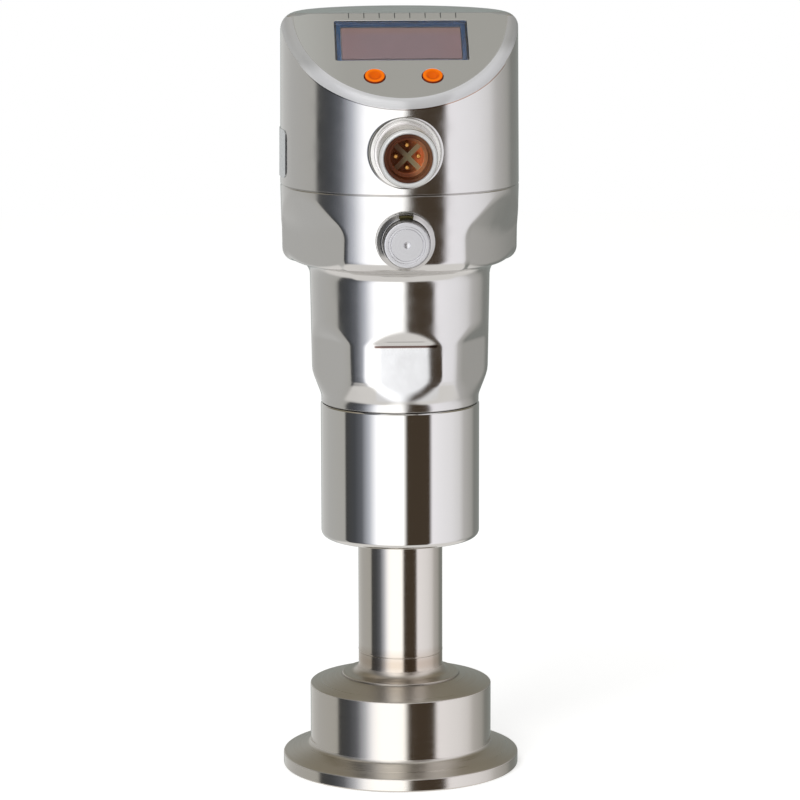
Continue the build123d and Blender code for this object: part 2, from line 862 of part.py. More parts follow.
mode_button = make_button(button_places[0])
set_button = make_button(button_places[1])
mode_button_seal = make_button_seal(button_places[0])
set_button_seal = make_button_seal(button_places[1])
mode_switch = make_switch(button_places[0])
set_switch = make_switch(button_places[1])

# Board carrier on the housing's inner ledge
carrier_top = carrier_base + carrier_disc_thickness
main_board_centre = main_board_front - board_thickness / 2
main_board_low = carrier_top - carrier_slot_depth
main_board_high = connector_centre + main_board_headroom
board_slot_thickness = board_thickness + 2 * carrier_slot_play
carrier_radius = housing_bore / 2 - carrier_fit
post_centre = main_board_width / 2 - carrier_slot_reach + carrier_post_width / 2

with BuildPart() as board_carrier:
    with BuildSketch(Plane.XY.offset(carrier_base)):
        Circle(carrier_radius)
        Circle(carrier_hole / 2, mode=Mode.SUBTRACT)
    extrude(amount=carrier_disc_thickness)
    with BuildSketch(Plane.XY.offset(carrier_base)):
        with Locations((-post_centre, -main_board_centre), (post_centre, -main_board_centre)):
            Rectangle(carrier_post_width, carrier_post_depth)
        Circle(carrier_radius, mode=Mode.INTERSECT)
    extrude(amount=carrier_disc_thickness + carrier_post_height)
    with BuildSketch(Plane.XY.offset(main_board_low)):
        with Locations((0, -main_board_centre)):
            Rectangle(main_board_width + 2 * carrier_slot_play, board_slot_thickness)
    extrude(amount=carrier_slot_depth + carrier_post_height, mode=Mode.SUBTRACT)

# Main board, upright in the carrier, with the connector's pins through it
pin_offset = pin_circle / 2
pin_places = [(pin_offset, 0), (0, pin_offset), (-pin_offset, 0), (0, -pin_offset)]

with BuildPart() as main_board:
    with BuildSketch(at_front(main_board_front, (main_board_low + main_board_high) / 2)):
        Rectangle(main_board_width, main_board_high - main_board_low)
    extrude(amount=-board_thickness)
    with BuildSketch(at_front(main_board_front, connector_centre)):
        with Locations(*pin_places):
            Circle(pin_diameter / 2 + weld_gap)
    extrude(amount=-board_thickness, mode=Mode.SUBTRACT)

# Socket for the signal lead, on the back of the main board
socket_base = carrier_top + socket_above_carrier
main_board_back = main_board_front - board_thickness

with BuildPart() as lead_socket:
    with BuildSketch(Plane.XY.offset(socket_base)):
        with Locations((0, socket_depth / 2 - main_board_back)):
            Rectangle(socket_width, socket_depth)
    extrude(amount=socket_height)
    chamfer(lead_socket.edges().filter_by(Axis.X).sort_by(Axis.Y)[-2:], 0.8)

# Signal lead on the swivel axis, from the sensor board to the socket
with BuildPart() as signal_lead:
    with BuildSketch(Plane.XY.offset(sensor_board_top)):
        Circle(lead_diameter / 2)
    extrude(amount=socket_base - lead_end_gap - sensor_board_top)

# Flex strip from the main board up to the display board
flex_line = flex_thickness / 2 - main_board_back
underside_depth = board_base_depth + flex_thickness / 2
flex_start = main_board_high - flex_overlap


def under_board(up_slope):
    """Point in the YZ plane on the flex strip's middle line under the display board."""
    point = face.from_local_coords((0, up_slope, -underside_depth))
    return (point.Y, point.Z)


run = (flex_line - under_board(0)[0]) / cos(radians(face_slope))

with BuildPart() as flex_strip:
    with BuildLine(Plane.YZ):
        FilletPolyline(
            (flex_line, flex_start),
            under_board(run),
            under_board(run + flex_reach),
            radius=flex_bend_radius,
        )
    with BuildSketch(Plane.XY.offset(flex_start)):
        with Locations((0, flex_line)):
            Rectangle(flex_width, flex_thickness)
    sweep()


def turn_forward(corners, height):
    """Draw a closed half section from (radius, distance to the front, corner fillet) entries."""
    points = [(-distance, height + radius) for radius, distance, _ in corners]
    FilletPolyline(points, radius=[corner for _, _, corner in corners], close=True)


# Round connector: metal shell whose ring sits on the cover's boss
connector_axis = Axis((0, 0, connector_centre), (0, -1, 0))
connector_front = connector_seat + connector_length
connector_rear = connector_seat - connector_shank_length
ring_front = connector_seat + connector_ring_length
relief_front = ring_front + connector_relief_length
tip_chamfer = (connector_thread_diameter - connector_tip_diameter) / 2

with BuildPart() as connector_shell:
    with BuildSketch(Plane.YZ):
        with BuildLine():
            turn_forward([
                (connector_bore / 2, connector_rear, 0),
                (connector_shank_diameter / 2, connector_rear, 0.4),
                (connector_shank_diameter / 2, connector_seat, 0),
                (connector_ring_diameter / 2, connector_seat, 0),
                (connector_ring_diameter / 2, ring_front, 0.25),
                (connector_relief_diameter / 2, ring_front, 0),
                (connector_relief_diameter / 2, relief_front, 0),
                (connector_thread_diameter / 2, relief_front + tip_chamfer, 0),
                (connector_thread_diameter / 2, connector_front - 2 * tip_chamfer, 0),
                (connector_tip_diameter / 2, connector_front, 0.2),
                (connector_bore / 2, connector_front, 0.2),
            ], connector_centre)
        make_face()
    revolve(axis=connector_axis)

with BuildPart() as connector_seal:
    with BuildSketch(at_front(connector_seat, connector_centre)):
        Circle(connector_shank_diameter / 2 + connector_seal_section - weld_gap)
        Circle(connector_shank_diameter / 2 + weld_gap, mode=Mode.SUBTRACT)
    extrude(amount=-connector_seal_section)

# Connector insert: a moulded cup with crossed ribs between the pins
insert_front = connector_front - insert_lip_setback
insert_rear = connector_rear - insert_tail
mouth_floor = insert_front - insert_mouth_depth
well_floor = mouth_floor - insert_well_depth
insert_radius = connector_bore / 2 - insert_fit

with BuildPart() as connector_insert:
    with BuildSketch(at_front(insert_rear, connector_centre)):
        Circle(insert_radius)
    extrude(amount=insert_front - insert_rear)
    with BuildSketch(at_front(mouth_floor, connector_centre)):
        Circle(insert_mouth_diameter / 2)
    extrude(amount=2 * insert_mouth_depth, mode=Mode.SUBTRACT)
    with BuildSketch(at_front(well_floor, connector_centre)):
        Circle(insert_well_diameter / 2)
    extrude(amount=insert_well_depth, mode=Mode.SUBTRACT)
    with BuildSketch(at_front(well_floor, connector_centre)):
        for turn_angle in (45, -45):
            with Locations(Rotation(0, 0, turn_angle)):
                Rectangle(insert_well_diameter, insert_rib_thickness)
        Circle(insert_well_diameter / 2, mode=Mode.INTERSECT)
    extrude(amount=insert_well_depth - insert_rib_setback)
    with BuildSketch(at_front(insert_rear, connector_centre)):
        with Locations(*pin_places):
            Circle(pin_diameter / 2 + weld_gap)
    extrude(amount=well_floor - insert_rear, mode=Mode.SUBTRACT)

with BuildPart() as connector_pins:
    with BuildSketch(at_front(main_board_back - pin_board_tail, connector_centre)):
        with Locations(*pin_places):
            Circle(pin_diameter / 2)
    extrude(amount=mouth_floor - pin_setback - main_board_back + pin_board_tail)
    fillet(connector_pins.faces().sort_by(Axis.Y)[:pin_count].edges(), pin_tip_radius)

# Vent plug: body with a conical front, inner disc, membrane and seal
vent_axis = Axis((0, 0, vent_centre), (0, -1, 0))
vent_rear = vent_seat - vent_shank_length
vent_shoulder = head_radius + vent_ring_proud
vent_front = vent_shoulder + vent_cone_length
vent_socket_floor = vent_front - vent_socket_depth
vent_disc_front = vent_shoulder + vent_disc_proud

with BuildPart() as vent_body:
    with BuildSketch(Plane.YZ):
        with BuildLine():
            turn_forward([
                (vent_bore / 2, vent_rear, 0),
                (vent_shank_diameter / 2, vent_rear, 0.4),
                (vent_shank_diameter / 2, vent_seat + vent_seal_thickness, 0),
                (vent_shank_diameter / 2 + vent_seal_width, vent_seat + vent_seal_thickness, 0),
                (vent_shank_diameter / 2 + vent_seal_width, vent_seat, 0),
                (vent_ring_diameter / 2, vent_seat, 0),
                (vent_ring_diameter / 2, vent_shoulder - vent_ring_bevel, 0),
                (vent_ring_diameter / 2 - vent_ring_bevel, vent_shoulder, 0),
                (vent_cone_end_diameter / 2, vent_front, 0),
                (vent_socket_diameter / 2, vent_front, 0),
                (vent_socket_diameter / 2, vent_socket_floor, 0),
                (vent_membrane_diameter / 2, vent_socket_floor, 0),
                (vent_membrane_diameter / 2, vent_socket_floor - vent_membrane_thickness, 0),
                (vent_bore / 2, vent_socket_floor - vent_membrane_thickness, 0),
            ], vent_centre)
        make_face()
    revolve(axis=vent_axis)
    notch_top = vent_centre + vent_ring_diameter / 2 - vent_notch_margin
    with BuildSketch(at_front(vent_front, notch_top - vent_notch_height / 2)):
        Rectangle(vent_notch_width, vent_notch_height)
    extrude(amount=-vent_notch_depth, mode=Mode.SUBTRACT)

with BuildPart() as vent_disc:
    with BuildSketch(Plane.YZ):
        with BuildLine():
            turn_forward([
                (vent_disc_diameter / 2 - vent_disc_wall, vent_socket_floor, 0),
                (vent_disc_diameter / 2, vent_socket_floor, 0),
                (vent_disc_diameter / 2, vent_disc_front, vent_disc_edge_radius),
                (vent_dimple_diameter / 2, vent_disc_front, 0),
                (0, vent_disc_front - vent_dimple_depth, 0),
                (0, vent_disc_front - vent_disc_wall, 0),
                (vent_disc_diameter / 2 - vent_disc_wall, vent_disc_front - vent_disc_wall, 0.5),
            ], vent_centre)
        make_face()
    revolve(axis=vent_axis)

with BuildPart() as vent_membrane:
    with BuildSketch(at_front(vent_socket_floor, vent_centre)):
        Circle(vent_membrane_diameter / 2 - weld_gap)
    extrude(amount=-vent_membrane_thickness)

with BuildPart() as vent_seal:
    with BuildSketch(at_front(vent_seat, vent_centre)):
        Circle(vent_shank_diameter / 2 + vent_seal_width - weld_gap)
        Circle(vent_shank_diameter / 2 + vent_shank_gap, mode=Mode.SUBTRACT)
    extrude(amount=vent_seal_thickness)

# Blank plate on the left flank, bent to the cover's wall
label_end_angle = 270 - label_start_bearing - label_arc
wall_slope = cover_taper / (cover_height - seam_chamfer)


def wall_radius(height_above_seam):
    """Radius of the cover's outer wall at a height above the head seam."""
    return head_radius - wall_slope * (height_above_seam - seam_chamfer)


with BuildPart() as side_label:
    with BuildSketch(Plane.XZ.rotated((0, 0, label_end_angle), ordering=Extrinsic.XYZ)):
        with BuildLine():
            Polyline(
                (wall_radius(label_low), head_seam + label_low),
                (wall_radius(label_low) + label_thickness, head_seam + label_low),
                (wall_radius(label_high) + label_thickness, head_seam + label_high),
                (wall_radius(label_high), head_seam + label_high),
                close=True,
            )
        make_face()
    revolve(axis=Axis.Z, revolution_arc=label_arc)
    short_edges = side_label.edges().filter_by(lambda edge: edge.length < 2 * label_thickness)
    fillet(short_edges, label_corner_radius)

pieces = {
    "clamp_ferrule": clamp_ferrule,
    "process_diaphragm": process_diaphragm,
    "capillary_tube": capillary_tube,
    "neck_tube": neck_tube,
    "sensor_barrel": sensor_barrel,
    "pressure_cell": pressure_cell,
    "cell_pins": cell_pins,
    "sensor_board": sensor_board,
    "signal_lead": signal_lead,
    "swivel_spigot": swivel_spigot,
    "swivel_seal": swivel_seal,
    "retaining_ring": retaining_ring,
    "stop_pin": stop_pin,
    "lower_housing": lower_housing,
    "upper_cover": upper_cover,
    "cover_seal": cover_seal,
    "side_label": side_label,
    "display_window": display_window,
    "display_frame": display_frame,
    "display_module": display_module,
    "display_board": display_board,
    "board_screws": board_screws,
    "flex_strip": flex_strip,
    "main_board": main_board,
    "lead_socket": lead_socket,
    "board_carrier": board_carrier,
    "mode_switch": mode_switch,
    "set_switch": set_switch,
    "mode_button_seal": mode_button_seal,
    "set_button_seal": set_button_seal,
    "mode_button": mode_button,
    "set_button": set_button,
    "connector_shell": connector_shell,
    "connector_seal": connector_seal,
    "connector_insert": connector_insert,
    "connector_pins": connector_pins,
    "vent_body": vent_body,
    "vent_disc": vent_disc,
    "vent_membrane": vent_membrane,
    "vent_seal": vent_seal,
}

os.makedirs("parts", exist_ok=True)
for name, piece in pieces.items():
    piece.part.label = name
    export_step(piece.part, f"parts/{name}.step")
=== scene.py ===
import math

import bpy
import numpy as np
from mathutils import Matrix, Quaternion, Vector
from mathutils.geometry import delaunay_2d_cdt, tessellate_polygon


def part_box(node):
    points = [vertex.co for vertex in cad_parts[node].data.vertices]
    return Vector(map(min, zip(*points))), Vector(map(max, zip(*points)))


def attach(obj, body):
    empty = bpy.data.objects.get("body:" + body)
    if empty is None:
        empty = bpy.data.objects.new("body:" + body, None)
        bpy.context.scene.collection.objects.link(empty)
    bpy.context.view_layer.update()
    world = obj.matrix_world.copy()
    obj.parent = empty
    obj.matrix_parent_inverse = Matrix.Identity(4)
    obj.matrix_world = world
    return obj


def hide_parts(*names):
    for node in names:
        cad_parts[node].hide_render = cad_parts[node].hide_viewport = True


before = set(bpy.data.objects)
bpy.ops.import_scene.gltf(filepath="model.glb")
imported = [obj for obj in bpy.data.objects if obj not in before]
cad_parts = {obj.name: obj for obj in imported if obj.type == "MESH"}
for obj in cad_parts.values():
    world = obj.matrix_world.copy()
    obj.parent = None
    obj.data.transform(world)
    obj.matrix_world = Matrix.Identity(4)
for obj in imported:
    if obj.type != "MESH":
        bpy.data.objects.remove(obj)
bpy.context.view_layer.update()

# Shapes are worked out in millimetres and become metres when a mesh is made
mm = 0.001
tiny = 1e-6     # lengths and angles that differ by less are the same


def corners(node):
    # lowest and highest corner of a frame node, in millimetres
    low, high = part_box(node)
    return np.array(low) / mm, np.array(high) / mm


# Camera, lamp, surroundings and floor

cameraSizes = {
    "aimHeight": 79.2,
    "distance": 793.4,
    "pitch": 9.67,
    "bearing": -2.8,
    "roll": -0.12,
    "lens": 167.85,
    "sensor": 36.0,
}

studio = {
    "fill": 0.62,           # daylight from all round, as a matt surface sees it
    "white": 1.0,
    "lampPower": 5.0,
    "lampSize": 0.6,
    "lampPlace": (-0.45, -0.7, 0.95),
    "lampAim": (0, 0, 0.08),
    "tentRadius": 3.0,
    "tentHeight": 0.1,
    "tentBottom": (0.92, 0.9, 0.88),
    "floorSize": 2.0,
    "floorColour": (0.86, 0.86, 0.85),
    "floorLift": 0.42,
}

# What polished steel sees round it at eye level: bearing from the camera, and brightness
tentBearings = [
    (-180, (0.33, 0.36, 0.345)),
    (-172, (0.36, 0.38, 0.37)),
    (-165, (0.72, 0.73, 0.72)),
    (-148, (0.64, 0.64, 0.63)),
    (-128, (0.57, 0.57, 0.56)),
    (-91, (0.55, 0.545, 0.52)),
    (-88, (0.075, 0.075, 0.075)),
    (-72, (0.085, 0.09, 0.10)),
    (-60, (0.17, 0.18, 0.205)),
    (-48, (0.68, 0.71, 0.79)),
    (-38, (1.5, 1.52, 1.6)),
    (-28, (1.8, 1.8, 1.8)),
    (1.5, (1.8, 1.8, 1.8)),
    (7.5, (0.075, 0.055, 0.038)),
    (40, (0.075, 0.055, 0.038)),
    (45, (1.2, 1.18, 1.24)),
    (60, (1.13, 1.12, 1.17)),
    (78, (1.05, 1.04, 1.08)),
    (93, (0.90, 0.89, 0.91)),
    (104, (0.62, 0.61, 0.605)),
    (124, (0.46, 0.455, 0.435)),
    (134, (0.27, 0.275, 0.26)),
    (150, (0.27, 0.28, 0.265)),
    (180, (0.33, 0.36, 0.345)),
]

# What it sees above: height over the horizon in degrees, and brightness
tentHeights = [
    (10, (0.40, 0.39, 0.36)),
    (32, (0.22, 0.20, 0.15)),
    (43, (0.26, 0.235, 0.17)),
    (55, (0.44, 0.38, 0.30)),
    (72, (0.50, 0.50, 0.47)),
    (90, (0.56, 0.56, 0.53)),
]


def addObject(name, data):
    item = bpy.data.objects.new(name, data)
    bpy.context.scene.collection.objects.link(item)
    return item


def aim(item, direction, roll=0.0):
    item.rotation_mode = "QUATERNION"
    item.rotation_quaternion = direction.to_track_quat("-Z", "Y") @ Quaternion((0, 0, 1), math.radians(roll))


def addCamera(sizes):
    pitch, bearing = math.radians(sizes["pitch"]), math.radians(sizes["bearing"])
    back = Vector((
        math.sin(bearing) * math.cos(pitch),
        -math.cos(bearing) * math.cos(pitch),
        math.sin(pitch),
    ))
    data = bpy.data.cameras.new("camera")
    data.lens, data.sensor_width = sizes["lens"], sizes["sensor"]
    data.clip_start, data.clip_end = 0.01, 50
    camera = addObject("camera", data)
    camera.location = Vector((0, 0, sizes["aimHeight"] * mm)) + back * sizes["distance"] * mm
    aim(camera, -back, sizes["roll"])
    bpy.context.scene.camera = camera


# Shader nodes

class Value:
    # a shader node's output, to reckon with as with a number
    def __init__(self, socket):
        self.socket, self.tree = socket, socket.id_data

    def reckon(self, operation, *others):
        inputs = {f"in{index}": value for index, value in enumerate((self, *others))}
        return addValue(self.tree, "ShaderNodeMath", operation=operation, **inputs)

    def __add__(self, other):
        return self.reckon("ADD", other)

    def __sub__(self, other):
        return self.reckon("SUBTRACT", other)

    def __mul__(self, other):
        return self.reckon("MULTIPLY", other)

    def __abs__(self):
        return self.reckon("ABSOLUTE")

    def larger(self, other):
        return self.reckon("MAXIMUM", other)

    def bearing(self, other):
        # degrees round from the other value's axis
        return self.reckon("ARCTAN2", other).reckon("DEGREES")

    def ramp(self, low, high, first=0, last=1, smooth=False):
        # runs from first to last while the value runs from low to high
        return addValue(self.tree, "ShaderNodeMapRange", in0=self, in1=low, in2=high, in3=first, in4=last,
                        interpolation_type="SMOOTHSTEP" if smooth else "LINEAR")

    def within(self, low, high, soft):
        # 1 between two limits, fading to 0 over a short way inside both
        return self.ramp(low, low + soft, 0, 1, True) * self.ramp(high - soft, high, 1, 0, True)

    def split(self):
        return [Value(part) for part in addNode(self.tree, "ShaderNodeSeparateXYZ", in0=self).outputs]


def fillSocket(socket, value):
    # with another node's output, a number, a vector or a colour
    if isinstance(value, Value):
        value.tree.links.new(value.socket, socket)
    else:
        socket.default_value = (*value, 1) if socket.type == "RGBA" else value


def addNode(tree, kind, **settings):
    # a setting is a socket's name, in0, in1 ... for a socket's number, or a property of the node
    node = tree.nodes.new(kind)
    for name, value in settings.items():
        if name.startswith("in") and name[2:].isdigit():
            fillSocket(node.inputs[int(name[2:])], value)
        elif name in node.inputs:
            fillSocket(node.inputs[name], value)
        else:
            setattr(node, name, value)
    return node


def addValue(tree, kind, output=0, **settings):
    return Value(addNode(tree, kind, **settings).outputs[output])


def distance(first, second):
    return (first.reckon("POWER", 2.0) + second.reckon("POWER", 2.0)).reckon("SQRT")


def speckle(vector, scale, detail=2.0, roughness=0.5):
    return addValue(vector.tree, "ShaderNodeTexNoise", in0=vector, Scale=scale, Detail=detail,
                    Roughness=roughness)


def mixColours(share, first, second):
    # the first colour where the share is 0, the second where it is 1
    return addValue(share.tree, "ShaderNodeMix", 2, data_type="RGBA", in0=share, in6=first, in7=second)


def colourRamp(value, stops, low, high):
    # ramp over low..high; the colours may be brighter than 1, so they are scaled down and up again
    brightest = max(max(colour) for _, colour in stops)
    node = addNode(value.tree, "ShaderNodeValToRGB", in0=value.ramp(low, high))
    ramp = node.color_ramp
    while len(ramp.elements) < len(stops):
        ramp.elements.new(0.5)
    for element, (place, colour) in zip(ramp.elements, stops):
        element.position = (place - low) / (high - low)
        element.color = (*[share / brightest for share in colour], 1)
    return addValue(value.tree, "ShaderNodeVectorMath", operation="SCALE", in0=Value(node.outputs[0]),
                    in3=brightest)


def seenRays(tree):
    # 1 for what the camera, metal and glass see, 0 for what lights matt surfaces
    rays = addNode(tree, "ShaderNodeLightPath").outputs
    seen = Value(rays["Is Camera Ray"]).larger(Value(rays["Is Glossy Ray"]))
    return seen.larger(Value(rays["Is Transmission Ray"]))


def emptyTree(owner):
    owner.use_nodes = True
    owner.node_tree.nodes.clear()
    return owner.node_tree


def addSurroundings(sizes):
    world = bpy.data.worlds.new("daylight")
    tree = emptyTree(world)
    strength = seenRays(tree).ramp(0, 1, sizes["fill"], sizes["white"])
    background = addValue(tree, "ShaderNodeBackground", in0=(1, 1, 1), in1=strength)
    addNode(tree, "ShaderNodeOutputWorld", in0=background)
    bpy.context.scene.world = world

    light = bpy.data.lights.new("softbox", "AREA")
    light.shape, light.size, light.energy = "SQUARE", sizes["lampSize"], sizes["lampPower"]
    lamp = addObject("softbox", light)
    lamp.location = sizes["lampPlace"]
    aim(lamp, Vector(sizes["lampAim"]) - lamp.location)
    lamp.visible_glossy = False     # the tent round the object shows in the metal in its place


def addStageMesh(name, points, faces, material):
    mesh = bpy.data.meshes.new(name)
    mesh.from_pydata(points, [], faces)
    mesh.materials.append(material)
    item = addObject(name, mesh)
    return item


def addFloor(sizes):
    material = bpy.data.materials.new("paleFloor")
    tree = emptyTree(material)
    matt = addValue(tree, "ShaderNodeBsdfDiffuse", in0=sizes["floorColour"])
    glow = addValue(tree, "ShaderNodeEmission", in0=(1, 1, 1), in1=seenRays(tree) * sizes["floorLift"])
    both = addValue(tree, "ShaderNodeAddShader", in0=matt, in1=glow)
    addNode(tree, "ShaderNodeOutputMaterial", in0=both)
    half = sizes["floorSize"] / 2
    square = [(-half, -half, 0), (half, -half, 0), (half, half, 0), (-half, half, 0)]
    floor = addStageMesh("paleFloor", square, [(0, 1, 2, 3)], material)
    floor.visible_glossy = False    # the tent's pale bottom stands for it, without the object's own light


def addTent(sizes):
    # soft boxes and dark flags round the object, only for reflections
    material = bpy.data.materials.new("lightTent")
    tree = emptyTree(material)
    across, forward, up = addValue(tree, "ShaderNodeTexCoord", "Object").split()
    toFront = forward * -1.0
    bearing = across.bearing(toFront)
    height = up.bearing(distance(across, toFront))
    level = colourRamp(bearing, tentBearings, -180, 180)
    above = colourRamp(height, tentHeights, 0, 90)
    # the upper colours start high over the front and low over the back
    share = addValue(tree, "ShaderNodeMix", data_type="FLOAT", in0=abs(bearing).ramp(75, 115, 0, 1, True),
                     in2=height.ramp(50, 78, 0, 1, True), in3=height.ramp(14, 30, 0, 1, True))
    walls = mixColours(share, level, above)
    colour = mixColours(height.ramp(-42, -30, 1, 0, True), walls, sizes["tentBottom"])
    glow = addValue(tree, "ShaderNodeEmission", in0=colour, in1=1.0)
    addNode(tree, "ShaderNodeOutputMaterial", in0=glow)

    rows, columns, radius = 24, 48, sizes["tentRadius"]
    points, faces = [], []
    for row in range(rows + 1):
        tilt = math.pi * (row / rows - 0.5)
        for column in range(columns):
            turn = 2 * math.pi * column / columns
            ring = radius * math.cos(tilt)
            points.append((ring * math.cos(turn), ring * math.sin(turn), radius * math.sin(tilt)))
    for row in range(rows):
        for column in range(columns):
            beside = (column + 1) % columns
            faces.append((row * columns + column, row * columns + beside,
                          (row + 1) * columns + beside, (row + 1) * columns + column))
    tent = addStageMesh("lightTent", points, faces, material)
    tent.location.z = sizes["tentHeight"]
    for rays in ("camera", "diffuse", "shadow", "transmission", "volume_scatter"):
        setattr(tent, f"visible_{rays}", False)


print("camera and studio")
addCamera(cameraSizes)
addSurroundings(studio)
addFloor(studio)
addTent(studio)
bpy.context.scene.view_settings.view_transform = "Standard"


# Finishes; places in them are in metres

class Finish:
    # a material in the making
    def __init__(self, name, colour, metallic=0.0, roughness=0.5, extra=None):
        self.material = bpy.data.materials.new(name)
        self.tree = emptyTree(self.material)
        self.shader = addNode(self.tree, "ShaderNodeBsdfPrincipled", Metallic=metallic, Roughness=roughness)
        self.fill("Base Color", colour)
        for socket, value in (extra or {}).items():
            self.fill(socket, value)
        addNode(self.tree, "ShaderNodeOutputMaterial", in0=Value(self.shader.outputs[0]))

    def fill(self, name, value):
        fillSocket(self.shader.inputs[name], value)

    def place(self):
        return addValue(self.tree, "ShaderNodeTexCoord", "Object")

    def axes(self):
        # across, backward and height
        return self.place().split()

    def facing(self):
        # how far a surface faces up: 0 for a wall, 1 for a roof
        return addValue(self.tree, "ShaderNodeNewGeometry", "Normal").split()[2]

    def paint(self, share, colour):
        # lays another colour over the finish where the share is 1
        socket = self.shader.inputs["Base Color"]
        under = Value(socket.links[0].from_socket) if socket.links else socket.default_value[:3]
        self.fill("Base Color", mixColours(share, under, colour))

    def varyColour(self, cloud, first, second):
        self.fill("Base Color", mixColours(cloud.ramp(0.3, 0.7), first, second))

    def varyRoughness(self, cloud, low, high):
        self.fill("Roughness", cloud.ramp(0.3, 0.7, low, high))

    def bump(self, value, strength, depth):
        self.fill("Normal", addValue(self.tree, "ShaderNodeBump", Strength=strength, Distance=depth,
                                     Height=value))


steelColours = {
    "cast": (0.655, 0.645, 0.63),
    "turned": (0.62, 0.59, 0.545),
    "polished": (0.665, 0.655, 0.635),
    "tint": (0.50, 0.43, 0.36),
    # painted shade for the corner at the foot of the neck's bell
    "creviceShade": (0.17, 0.145, 0.115),
}


def castFinish(name):
    # bead-blasted and polished casting: satin, with a faint ripple
    finish = Finish(name, steelColours["cast"], 1.0, 0.16)
    ripple = speckle(finish.place(), 260)
    finish.varyRoughness(ripple, 0.12, 0.19)
    finish.bump(ripple * 3.0 + speckle(finish.place(), 3200), 0.05, 0.00004)
    return finish


coverColours = {
    "shadowLeft": (0.15, 0.14, 0.145),      # thin line under the roll
    "shadowRight": (0.34, 0.17, 0.09),
    # painted highlight along the left of the slanted face's edge
    "leftEdge": (0.80, 0.80, 0.80),
    # painted reflection on the roll, from its lower to its upper part
    "rollReflectionLow": (0.64, 0.64, 0.65),
    "rollReflectionHigh": (0.43, 0.43, 0.425),
    "ridge": (0.31, 0.315, 0.305),
}


def coverFinish(name):
    # casting with a brushed, duller roll along the edge of the slanted face; its light tone is a painted
    # reflection
    finish = castFinish(name)
    facing, (across, back, height) = finish.facing(), finish.axes()
    onSlope = height.ramp(0.1430, 0.1433) * back.ramp(0.001, 0.004, 1, 0, True)
    front = back.ramp(-0.0125, -0.0135)
    # the roll fades into the wall higher up, sooner on the left
    level = height - across * 0.09
    # height over the place where the roll leaves the wall; the band narrows to nothing at the sides
    start = height - 0.160264 - back * 0.666 - height.ramp(0.1480, 0.1512, 0, 0.00027)
    foot = front * start.within(-0.00056, -0.00026, 0.00009) * facing.ramp(0.03, 0.05, 1, 0)
    shadow = mixColours(across.ramp(-0.002, 0.005), coverColours["shadowLeft"], coverColours["shadowRight"])
    finish.paint(foot * level.ramp(0.1496, 0.1520, 0.75, 0, True), shadow)
    # painted highlight: a light line where the slanted face meets the roll, on the left
    paintedGlint = onSlope * facing.within(0.788, 0.820, 0.008) * across.ramp(-0.010, -0.024, 0, 1, True)
    finish.paint(paintedGlint, coverColours["leftEdge"])
    over = (front * start.ramp(-0.00030, -0.00024)).larger(facing.ramp(0.08, 0.13, 0, 1, True))
    roll = onSlope * over * facing.ramp(0.75, 0.80, 1, 0, True)
    upper = level.ramp(0.1512, 0.1544, 0, 1, True)
    # painted reflection: lighter low on the roll, darker higher up
    finish.paint(roll, mixColours(upper, coverColours["rollReflectionLow"], coverColours["rollReflectionHigh"]))
    ridge = onSlope * height.ramp(0.1592, 0.1596) * facing.within(0.81, 0.998, 0.012)
    finish.paint(ridge, coverColours["ridge"])
    finish.fill("Metallic", roll.larger(ridge).ramp(0, 1, 1.0, 0.12))
    return finish


flatColours = {
    "ground": (0.68, 0.685, 0.70),
    "runout": (0.92, 0.92, 0.93),
    # painted shade where the flat bends into the run-out
    "creaseShade": (0.20, 0.19, 0.18),
    "groove": (0.36, 0.36, 0.35),
    "line": (0.085, 0.035, 0.025),
}


def housingFinish(name):
    # casting whose front wrench flat is ground bright, with a dark line and a pale run-out over it
    finish = castFinish(name)
    facing, (across, back, height) = finish.facing(), finish.axes()
    front = back.ramp(-0.0165, -0.0155, 1, 0)
    over = front * height.within(0.0935, 0.0990, 0.0002)
    runout = over * facing.within(0.18, 0.62, 0.12)
    groove = height.within(0.09415, 0.09465, 0.0002) * across.within(-0.0045, 0.0050, 0.0015)
    line = height.within(0.0930, 0.09365, 0.00016) * across.within(-0.0064, 0.0072, 0.0006)
    shares = {
        "ground": front * across.within(-0.0062, 0.0078, 0.0009) * height.within(0.0812, 0.0934, 0.0009),
        "runout": runout,
        # painted shade where the flat bends into the run-out
        "creaseShade": over * facing.within(0.03, 0.24, 0.06) * 0.5,
        "groove": front * groove * 0.55,
        "line": front * line * 0.9,
    }
    for part, share in shares.items():
        finish.paint(share, flatColours[part])
    finish.fill("Metallic", runout.ramp(0, 1, 1.0, 0.15))
    return finish


def turnedFinish(name, colour, roughness, pitch, strength, axis=2, centre=(0, 0, 0), waver=30.0):
    # turning marks run round the part's axis, a pitch apart in millimetres
    finish = Finish(name, colour, 1.0, roughness)
    across = addValue(finish.tree, "ShaderNodeVectorMath", operation="SUBTRACT", in0=finish.place(),
                      in1=centre).split()
    along = across.pop(axis)
    line = (along + distance(*across) * 0.8) * (1 / (pitch * mm))
    marks = speckle(addValue(finish.tree, "ShaderNodeCombineXYZ", in0=line, in1=across[0] * waver,
                             in2=across[1] * waver), 1.0, 3.0, 0.6)
    finish.varyRoughness(marks, roughness * 0.8, roughness * 1.25)
    finish.bump(marks, strength, 0.00003)
    return finish


def ferruleFinish(name, weldHeight):
    # turned steel with brown heat tint round the weld, whose height is in millimetres
    finish = turnedFinish(name, steelColours["turned"], roughness=0.2, pitch=0.16, strength=0.22)
    height = finish.axes()[2]
    # walls are polished, slopes and shoulders are left as turned
    rough = Value(finish.shader.inputs["Roughness"].links[0].from_socket)
    finish.fill("Roughness", rough * finish.facing().ramp(0.1, 0.35, 0.65, 1.7, True))
    tint = abs(height - weldHeight * mm).ramp(0.0004, 0.0035)
    finish.fill("Base Color", mixColours(tint, steelColours["tint"], steelColours["turned"]))
    # painted shade, dark, in the corner where the neck's bell meets the shoulder
    finish.paint(height.within(0.01963, 0.02004, 0.00014) * 0.8, steelColours["creviceShade"])
    return finish


